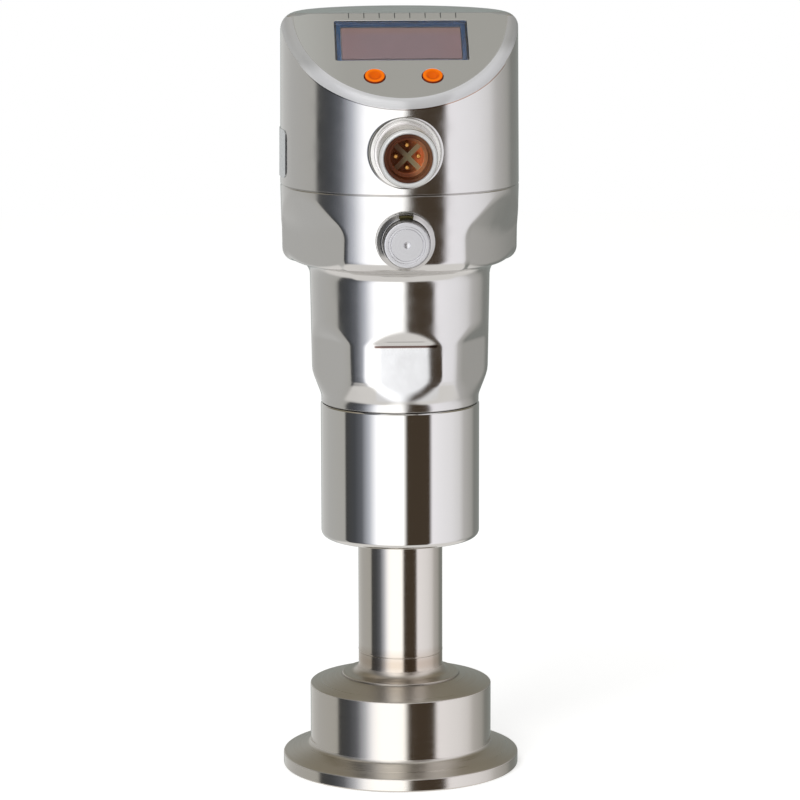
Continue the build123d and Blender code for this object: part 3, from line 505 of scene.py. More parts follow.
def mouldedFinish(name, colour, shade, roughness, grain=1500, strength=0.08, extra=None):
    # plastic, rubber, film or board: slightly uneven in colour, gloss and surface
    finish = Finish(name, colour, 0.0, roughness, extra)
    cloud = speckle(finish.place(), grain / 5, 3.0)
    finish.varyColour(cloud, shade, colour)
    finish.varyRoughness(cloud, roughness * 0.85, roughness * 1.15)
    finish.bump(speckle(finish.place(), grain, 3.0), strength, 0.00002)
    return finish


def frameFinish(name):
    # blue glue line behind the pane's edge, with painted light and shade: lighter to the right, a painted
    # highlight along its lower edge, painted shade along its top, and black painted shadow where it meets the
    # cover at both ends
    finish = mouldedFinish(name, (0.012, 0.11, 0.30), (0.010, 0.095, 0.27),
                           roughness=0.4, grain=900, strength=0.03)
    across, _, height = finish.axes()
    fromMiddle = abs(across)
    # painted light: lighter towards the right
    finish.paint(across.ramp(-0.013, 0.013, 0, 0.55), (0.09, 0.16, 0.34))
    # painted highlight along the lower edge
    finish.paint(height.ramp(0.1530, 0.1533, 1, 0) * fromMiddle.ramp(0.0120, 0.0126, 1, 0), (0.30, 0.27, 0.36))
    # painted shade along the top
    finish.paint(height.ramp(0.1582, 0.1590, 0, 0.6), (0.01, 0.05, 0.16))
    # painted shadow in the gaps at both ends
    finish.paint(fromMiddle.ramp(0.01335, 0.01345), (0.01, 0.012, 0.015))
    return finish


def displayFinish(name):
    # dim face of a switched-off display, warmer towards its edges
    finish = mouldedFinish(name, (0.25, 0.155, 0.168), (0.235, 0.145, 0.158),
                           roughness=0.55, grain=600, strength=0.03)
    across, _, height = finish.axes()
    finish.paint(abs(across).ramp(0.005, 0.0125, 0, 0.45, True), (0.27, 0.135, 0.135))
    finish.paint(height.ramp(0.1565, 0.1580, 0, 0.7, True), (0.30, 0.155, 0.12))
    return finish


def buttonFinish(name):
    # orange moulding with painted shade: darker in the dish, more so towards its lower side, and dark red down
    # the side
    finish = mouldedFinish(name, (1.0, 0.20, 0.0), (0.97, 0.18, 0.0),
                           roughness=0.45, grain=2500, strength=0.06,
                           extra={"Specular IOR Level": 0.06})
    across, back, height = finish.axes()
    slope = math.radians(36.5)      # of the display face that the buttons stand on
    up = (back + 0.0251) * math.cos(slope) + (height - 0.1448) * math.sin(slope) - 0.00809
    radius = distance(abs(across) - 0.00593, up)
    # painted shade in the dish
    finish.paint(radius.ramp(0.00165, 0.00110, 0, 1, True), (0.80, 0.128, 0.0))
    # painted shade towards the dish's lower side
    finish.paint(radius.within(0.0006, 0.0015, 0.0004) * up.ramp(0.0006, -0.0004, 0, 0.7, True),
                 (0.62, 0.085, 0.0))
    # painted shadow down the button's side
    finish.paint(radius.ramp(0.00198, 0.00204), (0.34, 0.045, 0.01))
    return finish


def labelFinish(name):
    # blank silver-white film, with a painted shadow along its ends
    finish = mouldedFinish(name, (0.60, 0.62, 0.63), (0.55, 0.57, 0.58),
                           roughness=0.3, grain=900, strength=0.05, extra={"Metallic": 0.25})
    across, back, _ = finish.axes()
    fromMiddle = abs(across.bearing(back * -1.0) + 99.0)
    # painted shadow of the film's edge at both ends
    finish.paint(fromMiddle.ramp(25.35, 25.75), (0.22, 0.22, 0.23))
    return finish


def contactFinish(name):
    # gold plating, slightly uneven
    finish = Finish(name, (0.95, 0.62, 0.2), 0.65, 0.3)
    cloud = speckle(finish.place(), 1800, 3.0)
    finish.varyColour(cloud, (0.60, 0.29, 0.07), (0.70, 0.38, 0.10))
    finish.varyRoughness(cloud, 0.22, 0.38)
    return finish


# the emission is painted light, a glow that stands for daylight through the plastic
amberGlow = {
    "Specular IOR Level": 0.22,
    "Subsurface Weight": 0.2,
    "Subsurface Scale": 0.0012,
    "Subsurface Radius": (1.0, 0.35, 0.12),
    "Emission Color": (0.80, 0.36, 0.14),
}


def amberFinish(name, front=None):
    # translucent amber-brown moulding, with painted light where daylight shines through: lighter and faintly
    # glowing deep in the pockets and on the right
    finish = mouldedFinish(name, (0.082, 0.020, 0.004), (0.06, 0.014, 0.003),
                           roughness=0.4, grain=1200, strength=0.04, extra=amberGlow)
    across, back, _ = finish.axes()
    deep = back.ramp(-0.0328, -0.0326)
    lit = across.ramp(0.0002, 0.003, 0, 0.9, True)
    # painted light: lighter deep in the pockets and on the right side
    finish.paint(deep, (0.42, 0.12, 0.05))
    finish.paint(lit * deep, (0.95, 0.42, 0.2))
    # painted glow, strongest deep on the right
    finish.fill("Emission Strength", lit * deep * 0.15 + deep * 0.015)
    finish.paint(lit * 0.35 * deep.ramp(0, 1, 1, 0), (0.30, 0.14, 0.06))
    if front:
        # rib fronts: painted light on the right, painted shade on the left
        daylit = across.ramp(-0.0018, 0.0008, 0, 1, True)
        finish.paint(back.ramp(-0.03244, -0.03238, 1, 0), mixColours(daylit, (0.115, 0.055, 0.022), front))
    return finish


def connectorFinish(name):
    # nickel-plated shell: pale matt face, and thin dark lines where the barrel starts and ends, painted
    # reflection
    finish = turnedFinish(name, (0.88, 0.86, 0.85), roughness=0.28, pitch=0.1, strength=0.06, axis=1,
                          centre=(0, 0, 0.1345))
    back = finish.axes()[1]
    face = back.ramp(-0.0365, -0.0366)
    finish.paint(face, (0.72, 0.725, 0.72))
    finish.fill("Metallic", face.ramp(0, 1, 0.85, 0.25))
    # painted reflection: thin dark lines round the barrel
    for start in (-0.03660, -0.03445):
        finish.paint(back.within(start, start + 0.00026, 0.00008) * 0.75, (0.16, 0.14, 0.08))
    return finish


ventAxis = 0.11635      # height of the vent's axis in metres, as in housingSizes


def ventFinish(name):
    # bright turned ring, with painted shade in its notch
    finish = turnedFinish(name, (0.58, 0.57, 0.56), roughness=0.2, pitch=0.22, strength=0.15, axis=1,
                          centre=(0, 0, ventAxis))
    across, back, height = finish.axes()
    notch = abs(across).ramp(0.00140, 0.00150, 1, 0) * height.ramp(0.1209, 0.1210)
    # painted shade in the notch and on the bevel over it
    finish.paint(notch * back.ramp(-0.02705, -0.02695), (0.075, 0.065, 0.03))
    return finish


def ventCapFinish(name):
    # pale turned cap: faint turning rings, with a painted shadow round its rim
    finish = turnedFinish(name, (0.60, 0.60, 0.62), roughness=0.36, pitch=0.3, strength=0.16, axis=1,
                          centre=(0, 0, ventAxis))
    across, _, height = finish.axes()
    radius = distance(across, height - ventAxis)
    for ring, width, share in ((3.78, 0.10, 0.35), (3.3, 0.12, 0.45), (0.72, 0.10, 0.35)):
        band = radius.within((ring - width) * mm, (ring + width) * mm, 0.8 * width * mm)
        finish.paint(band * share, (0.38, 0.38, 0.42))
    # painted shadow in the gap round the disc's rim
    finish.paint(radius.ramp(0.00462, 0.00470), (0.22, 0.215, 0.21))
    return finish


print("finishes")
# By the slot that each serves, or by the piece where it is for one alone
finishes = {
    "cast_steel": castFinish("castSteel"),
    "cover": coverFinish("coverSteel"),
    "housing": housingFinish("housingSteel"),
    "polished_steel": turnedFinish("polishedSteel", steelColours["polished"], roughness=0.07, pitch=0.12,
                                   strength=0.05),
    "turned_steel": ferruleFinish("turnedSteel", weldHeight=23.4),
    "connector_metal": connectorFinish("connectorMetal"),
    "vent_steel": ventFinish("ventSteel"),
    "ventCap": ventCapFinish("ventCapSteel"),
    "diaphragm_steel": turnedFinish("diaphragmSteel", (0.66, 0.65, 0.64), roughness=0.16, pitch=0.2,
                                    strength=0.05),
    "spring_steel": turnedFinish("springSteel", (0.5, 0.5, 0.49), roughness=0.3, pitch=0.2, strength=0.2),
    "gold_contact": contactFinish("goldContact"),
    "amber_plastic": amberFinish("amberPlastic"),
    "amberRibs": amberFinish("amberRibs", (0.29, 0.26, 0.15)),
    "orange_plastic": buttonFinish("orangePlastic"),
    "window_pane": Finish("windowPane", (0.95, 0.94, 0.95), 0.0, 0.03,
                          {"Transmission Weight": 1.0, "IOR": 1.45}),
    "blue_frame": frameFinish("blueFrame"),
    "display_face": displayFinish("displayFace"),
    "green_board": mouldedFinish("greenBoard", (0.04, 0.2, 0.09), (0.03, 0.15, 0.07),
                                 roughness=0.42, grain=900),
    "black_plastic": mouldedFinish("blackPlastic", (0.03, 0.03, 0.03), (0.022, 0.022, 0.024), roughness=0.5),
    "flex_foil": mouldedFinish("flexFoil", (0.55, 0.28, 0.05), (0.45, 0.22, 0.04), roughness=0.3),
    "label_film": labelFinish("labelFilm"),
    "seal_rubber": mouldedFinish("sealRubber", (0.028, 0.028, 0.03), (0.02, 0.02, 0.021),
                                 roughness=0.62, grain=2500, strength=0.15),
    "membrane_white": mouldedFinish("membraneWhite", (0.85, 0.85, 0.83), (0.78, 0.78, 0.76),
                                    roughness=0.8, grain=4000, strength=0.3),
    "lead_sheath": mouldedFinish("leadSheath", (0.12, 0.12, 0.12), (0.09, 0.09, 0.09), roughness=0.55),
    "print": mouldedFinish("printInk", (0.07, 0.075, 0.07), (0.05, 0.055, 0.05), roughness=0.5),
}
finishes = {name: finish.material for name, finish in finishes.items()}

# Nodes that stay as they are take the finish of their slot
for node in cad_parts.values():
    for slot in node.material_slots:
        slot.material = finishes.get(slot.material.name.split(".")[0], slot.material)


# Mesh tools

upward = np.array([0, 0, 1.0])


def unit(values):
    values = np.asarray(values, float)
    return values / np.maximum(np.linalg.norm(values, axis=-1, keepdims=True), 1e-12)


def arcBetween(first, last, steps):
    # unit vectors along the shorter arc between two directions
    first, last = unit(first), unit(last)
    angle = math.acos(max(-1.0, min(1.0, float(np.dot(first, last)))))
    share = np.linspace(0, 1, steps + 1)[:, None]
    if angle < tiny:
        return np.repeat(first[None], steps + 1, axis=0)
    return (np.sin((1 - share) * angle) * first + np.sin(share * angle) * last) / math.sin(angle)


def roundOutline(outline, longest=None, edgeBreak=0.06):
    # closed outline, counter-clockwise, with its outward normals; an entry is (across, along, fillet)
    # and may add the longest step of the line that follows it
    places = np.array([entry[:2] for entry in outline], float)
    points, normals, runs = [], [], []
    for index, (across, _, fillet, *run) in enumerate(outline):
        here = places[index]
        before, after = here - places[index - 1], places[(index + 1) % len(outline)] - here
        lengths = np.linalg.norm(before), np.linalg.norm(after)
        before, after = before / lengths[0], after / lengths[1]
        normalBefore, normalAfter = np.array([before[1], -before[0]]), np.array([after[1], -after[0]])
        if across < tiny:
            points.append(here)
            normals.append(normalAfter if abs(after[0]) > abs(before[0]) else normalBefore)
            runs.append(run[0] if run else longest)
            continue
        turn = math.atan2(before[0] * after[1] - before[1] * after[0], float(before @ after))
        if abs(turn) < tiny:
            points.append(here)
            normals.append(normalBefore)
            runs.append(run[0] if run else longest)
            continue
        reach = min(max(fillet, edgeBreak) * math.tan(abs(turn) / 2), 0.49 * lengths[0], 0.49 * lengths[1])
        radius = reach / math.tan(abs(turn) / 2)
        side = 1 if turn > 0 else -1
        centre = here - before * reach - side * radius * normalBefore
        steps = max(2, min(14, int(abs(turn) / math.radians(7)))) if fillet > 0 else 2
        for normal in arcBetween(normalBefore, normalAfter, steps):
            points.append(centre + side * radius * normal)
            normals.append(normal)
            runs.append(longest)
        runs[-1] = run[0] if run else longest
    finePoints, fineNormals = [], []
    for index, point in enumerate(points):
        following = (index + 1) % len(points)
        gap = points[following] - point
        pieces = max(1, math.ceil(np.linalg.norm(gap) / runs[index])) if runs[index] else 1
        if following == 0 and point[0] < tiny:
            pieces = 1
        for piece in range(pieces):
            share = piece / pieces
            finePoints.append(point + gap * share)
            fineNormals.append(normals[index] * (1 - share) + normals[following] * share)
    return np.array(finePoints), unit(fineNormals)


def withSizes(sizes, outline):
    # an outline may name a size in place of a number
    return [tuple(sizes[value] if isinstance(value, str) else value for value in entry) for entry in outline]


def fullTurn(steps):
    return np.arange(steps) * 2 * math.pi / steps


class Shape:
    # points, normals and faces of one piece, in millimetres
    def __init__(self):
        self.points, self.normals, self.faces = [], [], []

    def addPoints(self, points, normals):
        start = len(self.points)
        self.points.extend(np.asarray(points, float).reshape(-1, 3))
        self.normals.extend(np.asarray(normals, float).reshape(-1, 3))
        return start

    def addGrid(self, points, normals, closeRows=False, closeColumns=False):
        # rows x columns of points; a closed direction joins its last line to its first
        rows, columns = points.shape[:2]
        start = self.addPoints(points, normals)
        for row in range(rows if closeRows else rows - 1):
            low, high = start + row * columns, start + (row + 1) % rows * columns
            for column in range(columns if closeColumns else columns - 1):
                beside = (column + 1) % columns
                self.faces.append((low + column, low + beside, high + beside, high + column))

    def addFlat(self, loops, normal):
        # flat region inside the first loop and outside the others
        vectors = [[Vector(point) for point in loop] for loop in loops]
        start = self.addPoints(np.vstack(loops), np.tile(normal, (sum(map(len, loops)), 1)))
        for face in tessellate_polygon(vectors):
            self.faces.append(tuple(start + index for index in face))

    def toMesh(self, name):
        # welds points that coincide, turns every face outward, and keeps the exact normals
        points, normals = np.array(self.points), np.array(self.normals)
        keys, where = {}, np.zeros(len(points), int)
        for index, key in enumerate(map(tuple, np.round(points * 20000 + 0.37).astype(int))):
            where[index] = keys.setdefault(key, len(keys))
        firsts = np.unique(where, return_index=True)[1]
        points, normals = points[firsts], unit(normals[firsts])
        faces = []
        for face in self.faces:
            ring = []
            for index in where[list(face)]:
                if index not in ring:
                    ring.append(int(index))
            if len(ring) > 2:
                faces.append(ring)
        for face in faces:
            a, b, c = points[face[0]], points[face[1]], points[face[2]]
            flat = np.cross(b - a, c - a) if len(face) == 3 else np.cross(c - a, points[face[3]] - b)
            if flat @ normals[face].sum(axis=0) < 0:
                face.reverse()
        mesh = bpy.data.meshes.new(name)
        mesh.from_pydata(points * mm, [], faces)
        mesh.polygons.foreach_set("use_smooth", [True] * len(mesh.polygons))
        mesh.update()
        mesh.normals_split_custom_set_from_vertices(normals)
        return mesh


def addPiece(name, shape, body, slot, *nodes, finish=None):
    mesh = shape.toMesh(name)
    mesh.materials.append(finishes[finish or slot])
    piece = addObject(name, mesh)
    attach(piece, body)
    if nodes:
        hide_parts(*nodes)
    return piece


def gridNormals(points, guide):
    # normals of a grid that closes in both directions, pointing the way the guide does
    across = np.roll(points, -1, 1) - np.roll(points, 1, 1)
    along = np.roll(points, -1, 0) - np.roll(points, 1, 0)
    normals = unit(np.cross(across, along))
    return normals * np.sign((normals * guide).sum(axis=2, keepdims=True))


upright = ((0, 0, 0), (1, 0, 0), (0, -1, 0), (0, 0, 1))


def forwardAt(height, across=0.0, up=0.0):
    # axis that points to the front, at a height on the centre line
    return (across, 0, height + up), (1, 0, 0), (0, 0, 1), (0, -1, 0)


def turned(outline, steps=192, axis=upright, longest=None, reshape=None, shape=None):
    # solid of revolution; an axis is its origin, two directions across it and the direction along it
    flat, flatNormals = roundOutline(outline, longest)
    origin, sideways, outward, onward = (np.array(vector, float) for vector in axis)
    angle = fullTurn(steps) if np.isscalar(steps) else np.array(steps)
    radius, along = np.repeat(flat[:, :1], len(angle), 1), np.repeat(flat[:, 1:], len(angle), 1)
    if reshape:
        radius, along = reshape(radius, along, np.repeat(angle[None], len(flat), 0))
    spoke = np.sin(angle)[:, None] * sideways + np.cos(angle)[:, None] * outward
    points = origin + radius[..., None] * spoke + along[..., None] * onward
    normals = flatNormals[:, :1, None] * spoke + flatNormals[:, 1:, None] * onward
    if reshape:
        normals = gridNormals(points, normals)
    onAxis = flat[0][0] < tiny
    if onAxis:
        normals[0], normals[-1] = flatNormals[0][1] * onward, flatNormals[-1][1] * onward
    shape = shape or Shape()
    shape.addGrid(points, normals, closeRows=not onAxis, closeColumns=True)
    return shape


def plate(axis, rim, holes, low, high, edge=0.06, shape=None):
    # flat piece between two places along an axis; its rim and holes are loops with outward directions
    origin, sideways, outward, onward = (np.array(vector, float) for vector in axis)
    shape = shape or Shape()
    lowLoops, highLoops = [], []
    for side, (places, away) in [(1, rim)] + [(-1, hole) for hole in holes]:
        rings, directions = [], []
        for grow, along, out, up in ((-edge, low, 0, -1), (0, low + edge, 1, 0), (0, high - edge, 1, 0),
                                     (-edge, high, 0, 1)):
            flat = places + side * grow * away
            rings.append(origin + flat[:, :1] * sideways + flat[:, 1:] * outward + along * onward)
            directions.append(side * out * (away[:, :1] * sideways + away[:, 1:] * outward) + up * onward)
        shape.addGrid(np.array(rings), np.array(directions), closeColumns=True)
        lowLoops.append(rings[0])
        highLoops.append(rings[-1])
    shape.addFlat(lowLoops, -onward)
    shape.addFlat(highLoops, onward)
    return shape


def cornerLoop(corners, fillet):
    # loop round a flat polygon with small rounded corners, and its outward directions
    places, away = roundOutline([(x + 100, y, fillet) for x, y in corners])
    return places - np.array([100.0, 0]), away


def softLower(first, second, blend):
    # the smaller of two sizes, with a rounded change from one to the other
    share = np.clip(blend - np.abs(first - second), 0, None) / blend
    return np.minimum(first, second) - share ** 2 * blend / 4


# Clamp ferrule, neck and barrel

ferruleSizes = {
    "flangeRadius": corners("clamp_ferrule")[1][1],
    "rimHeight": 2.75,
    "rimEdge": 0.4,
    "flangeSlope": 20.0,
    "collarRadius": 19.4,
    "collarHeight": 17.8,
    "collarEdge": 0.3,
    "shoulderSlope": 15.7,
    "bellRadius": 12.5,
    "bellToe": 0.1,
    "bellEdge": 0.4,
    "bellRise": 0.5,
    "shoulderFillet": 3.6,
    "neckRadius": 9.0,
    "neckBore": 6.2,
    "boreFloor": 9.0,
    "top": corners("clamp_ferrule")[1][2],
    "grooveRadius": 21.75,
    "grooveWidth": 3.2,
    "grooveDepth": 1.3,
    "capillaryBore": 1.52,
    "faceRadius": 17.52,
    "faceDepth": 0.45,
}


def buildFerrule(sizes):
    coneRise = (sizes["flangeRadius"] - sizes["collarRadius"]) * math.tan(math.radians(sizes["flangeSlope"]))
    shoulder = math.tan(math.radians(sizes["shoulderSlope"]))
    bellReach = sizes["bellRadius"] + sizes["bellToe"]
    bellFoot = sizes["collarHeight"] + (sizes["collarRadius"] - bellReach) * shoulder
    inner, outer = (sizes["grooveRadius"] + side * sizes["grooveWidth"] / 2 for side in (-1, 1))
    flank, depth = sizes["grooveWidth"] / 4, sizes["grooveDepth"]
    shape = turned(withSizes(sizes, [
        ("capillaryBore", "faceDepth", 0),
        ("faceRadius", "faceDepth", 0),
        ("faceRadius", 0, 0),
        (inner, 0, 0.1),
        (inner + flank, depth, depth / 2),
        (outer - flank, depth, depth / 2),
        (outer, 0, 0.1),
        ("flangeRadius", 0, "rimEdge"),
        ("flangeRadius", "rimHeight", "rimEdge"),
        ("collarRadius", sizes["rimHeight"] + coneRise, 1.0),
        ("collarRadius", "collarHeight", "collarEdge"),
        (bellReach, bellFoot, 0.1),
        ("bellRadius", bellFoot + sizes["bellEdge"], 0.35),
        ("neckRadius", bellFoot + sizes["bellEdge"] + sizes["bellRise"], "shoulderFillet"),
        ("neckRadius", "top", 0),
        ("neckBore", "top", 0),
        ("neckBore", "boreFloor", 1.0),
        ("capillaryBore", "boreFloor", 0),
    ]), 256)
    addPiece("ferrule", shape, "process_connection", "turned_steel", "clamp_ferrule")


neckSizes = {
    "radius": 9.0,
    "bore": 6.2,
    "beadRise": 0.05,
    "beadWidth": 0.6,
    "low": corners("neck_tube")[0][2],
    "high": corners("neck_tube")[1][2],
}


def buildNeck(sizes):
    bead = sizes["low"] + sizes["beadWidth"]
    shape = turned(withSizes(sizes, [
        ("bore", "low", 0),
        ("radius", "low", 0),
        (sizes["radius"] + sizes["beadRise"], sizes["low"] + sizes["beadWidth"] / 2, 0.4),
        ("radius", bead, 0),
        ("radius", "high", 0),
        ("bore", "high", 0),
    ]), 192)
    addPiece("neck", shape, "process_connection", "turned_steel", "neck_tube")


barrelSizes = {
    "radius": corners("sensor_barrel")[1][0],
    "low": corners("sensor_barrel")[0][2],
    "high": corners("sensor_barrel")[1][2],
    "lowerEdge": 1.4,
    "upperEdge": 0.25,
    "seatRadius": 13.62,
    "seatDepth": 4.0,
    "cavityRadius": 12.4,
    "floor": 6.0,
    "capillaryBore": 1.52,
    "neckSeat": 9.02,
    "neckDepth": 2.0,
}


def buildBarrel(sizes):
    radius, low, high = sizes["radius"], sizes["low"], sizes["high"]
    shape = turned(withSizes(sizes, [
        ("neckSeat", low, 0),
        (radius, low, "lowerEdge"),
        (radius, high - sizes["upperEdge"], 0.1),
        (radius - sizes["upperEdge"], high, 0),
        ("seatRadius", high, 0),
        ("seatRadius", high - sizes["seatDepth"], 0),
        ("cavityRadius", high - sizes["seatDepth"], 0),
        ("cavityRadius", low + sizes["floor"], 0.5),
        ("capillaryBore", low + sizes["floor"], 0),
        ("capillaryBore", low + sizes["neckDepth"], 0),
        ("neckSeat", low + sizes["neckDepth"], 0),
    ]), 256)
    addPiece("barrel", shape, "process_connection", "polished_steel", "sensor_barrel")


print("ferrule, neck and barrel")
buildFerrule(ferruleSizes)
buildNeck(neckSizes)
buildBarrel(barrelSizes)


# Lower housing: a turned casting with wrench flats, facets on its head and a seat for the vent

housingSizes = {
    "low": corners("lower_housing")[0][2],
    "high": corners("lower_housing")[1][2],
    "footRadius": 16.72,
    "flareLow": 80.75,
    "flareHigh": 85.77,
    "flareRadius": 18.647,
    "footFillet": 3.5,
    "flareFillet": 6.0,
    "waistRadius": 19.05,
    "underside": 109.25,
    "undersideFillet": 2.8,
    "headBaseRadius": 24.78,
    "headFillet": 2.9,
    "headRadius": 25.1,
    "seamEdge": 0.25,
    "flatDistance": 17.4,
    "flatTop": 93.5,
    "flatDraft": 1.5,
    "flatClear": 3.0,       # the flats end this far under the head
    "flatRunout": 26.0,
    "flatBlend": 0.75,
    "runoutBlend": 0.22,
    "cheekDistance": 22.0,
    "cheekTop": 117.6,
    "cheekSlope": 23.0,
    "cheekBlend": 0.32,
    "cheekBow": 0.85,       # 1 is flat, less is bowed outward
    "cheekFootFillet": 1.0,
    "cheekFootReach": 21.1,
    "cheekTopBlend": 0.7,
    "frontEase": 0.2,       # how fast the cheeks fade towards the front, per degree
    "bore": 12.95,
    "lowerBore": 14.0,
    "upperBore": 14.8,
    "floorTop": 84.3,
    "ledge": 88.5,
    "cavityRadius": 20.0,
    "cavityFloor": 113.75,
    "lipRadius": 22.8,
    "lipFloor": 121.8,
    "ventHeight": 116.35,
    "ventSeat": 24.35,
    "ventSpot": 6.1,
}


def headWall(sizes, height):
    # radius of the head's plain wall at a height, with the fillet to its underside
    high, low = sizes["high"] - sizes["seamEdge"], sizes["underside"]
    share = np.clip((height - low) / (high - low), 0, 1)
    wall = sizes["headBaseRadius"] + (sizes["headRadius"] - sizes["headBaseRadius"]) * share
    fillet = sizes["headFillet"]
    drop = np.clip(low + fillet - height, 0, fillet)
    return wall - fillet + np.sqrt(fillet ** 2 - drop ** 2)


def castOutline(sizes):
    # how flats and facets change the turned outline at each bearing
    halfFlat = 30       # six flats: each takes this many degrees to either side
    low = sizes["underside"]
    arcCentre = sizes["headBaseRadius"] - sizes["headFillet"]
    arcTop = low + sizes["headFillet"]
    waistEdge = sizes["waistRadius"]
    innerEdge = waistEdge + sizes["undersideFillet"]
    top = sizes["high"]

    def reshape(radius, height, angle):
        degrees = np.degrees(angle)
        fromFlat = np.radians((degrees + halfFlat) % (2 * halfFlat) - halfFlat)
        draft = math.tan(math.radians(sizes["flatDraft"])) * (sizes["flatTop"] - height)
        runout = math.tan(math.radians(sizes["flatRunout"])) * (height - sizes["flatTop"])
        flat = sizes["flatDistance"] - softLower(draft, -runout, sizes["runoutBlend"])
        waist = softLower(radius, flat / np.cos(fromFlat), sizes["flatBlend"])

        away = np.minimum(degrees, 360 - degrees)
        fromCheek = np.where(away < halfFlat, math.radians(halfFlat), fromFlat)

        def cheek(drop):
            plane = (sizes["cheekDistance"] - drop) / np.cos(fromCheek) ** sizes["cheekBow"]
            return np.where(away < halfFlat, plane + (halfFlat - away) * sizes["frontEase"], plane)

        fade = math.tan(math.radians(sizes["cheekSlope"])) * (height - sizes["cheekTop"])
        wall = headWall(sizes, np.maximum(height, arcTop + 0.01))
        drop = softLower(0 * fade, -fade, sizes["cheekTopBlend"])
        cut = wall - softLower(wall, cheek(drop), sizes["cheekBlend"])
        reach = softLower(headWall(sizes, arcTop + 0.01) + 0 * away, cheek(0), sizes["cheekBlend"])
        fillet = np.clip(reach - sizes["cheekFootReach"], sizes["cheekFootFillet"], sizes["headFillet"])
        limit = np.minimum(innerEdge, reach - fillet - 0.02)

        onArc = (radius > arcCentre - tiny) & (height < arcTop + tiny) & (height >= low - tiny)
        turn = np.arctan2(radius - arcCentre, arcTop - height)
        onFlat = (np.abs(height - low) < tiny) & (radius > innerEdge) & (radius < arcCentre)
        onWall = (radius > sizes["lipRadius"] + 0.7) & (height > arcTop)
        onUnder = (height > low - sizes["undersideFillet"] - 0.1) & (height < low + tiny)
        onUnder &= (radius > waistEdge) & (radius <= innerEdge + tiny)
        share = (radius - innerEdge) / (arcCentre - innerEdge)
        lean = (radius - waistEdge) / (innerEdge - waistEdge)
        newRadius = np.where(height < low - sizes["flatClear"], waist, radius)
        newRadius = np.where(onArc, reach - fillet + fillet * np.sin(turn), newRadius)
        newRadius = np.where(onUnder, waistEdge + lean * (limit - waistEdge), newRadius)
        newRadius = np.where(onFlat, limit + share * (reach - fillet - limit), newRadius)
        newRadius = np.where(onWall, radius - cut, newRadius)
        newHeight = np.where(onArc, low + fillet - fillet * np.cos(turn), height)
        stretch = (top - low - fillet) / (top - arcTop)
        return newRadius, np.where(onWall, top - (top - height) * stretch, newHeight)

    return reshape


def openRound(shape, middle, lowest, loop, loopNormals):
    # takes the front wall's faces inside a loop away and joins the wall to the loop
    points, normals = np.array(shape.points), np.array(shape.normals)
    reach = np.hypot(loop[:, 0] - middle[0], loop[:, 2] - middle[1]).max() + 0.3
    near = np.hypot(points[:, 0] - middle[0], points[:, 2] - middle[1]) < reach
    near &= (normals[:, 1] < -0.2) & (points[:, 1] < -middle[2])
    kept, removed = [], []
    for face in shape.faces:
        centre = points[list(face), 2].mean()
        (removed if near[list(face)].any() and centre > lowest else kept).append(face)
    sides = {}
    for face in removed:
        for index, point in enumerate(face):
            other = face[(index + 1) % len(face)]
            key = (min(point, other), max(point, other))
            sides[key] = sides.get(key, 0) + 1
    border = [key for key, count in sides.items() if count == 1]
    rim = sorted({index for key in border for index in key})
    number = {index: place for place, index in enumerate(rim)}
    start = shape.addPoints(loop, loopNormals)
    flat = [Vector((points[index][0], points[index][2])) for index in rim]
    flat += [Vector((point[0], point[2])) for point in loop]
    edges = [(number[a], number[b]) for a, b in border]
    size = len(loop)
    edges += [(len(rim) + index, len(rim) + (index + 1) % size) for index in range(size)]
    made = delaunay_2d_cdt(flat, edges, [], 1, 1e-5)
    sources = [original[0] for original in made[3]]
    for face in made[2]:
        owners = [sources[index] for index in face]
        if min(owners) < len(rim):
            kept.append(tuple(rim[owner] if owner < len(rim) else start + owner - len(rim)
                              for owner in owners))
    shape.faces = kept


def ringsInward(shape, rings):
    # joins loops of equal length one after the other, and closes the last with a flat fan
    points = np.array([ring[0] for ring in rings])
    normals = np.array([ring[1] for ring in rings])
    shape.addGrid(points, normals, closeColumns=True)
    shape.addFlat([points[-1]], normals[-1][0])


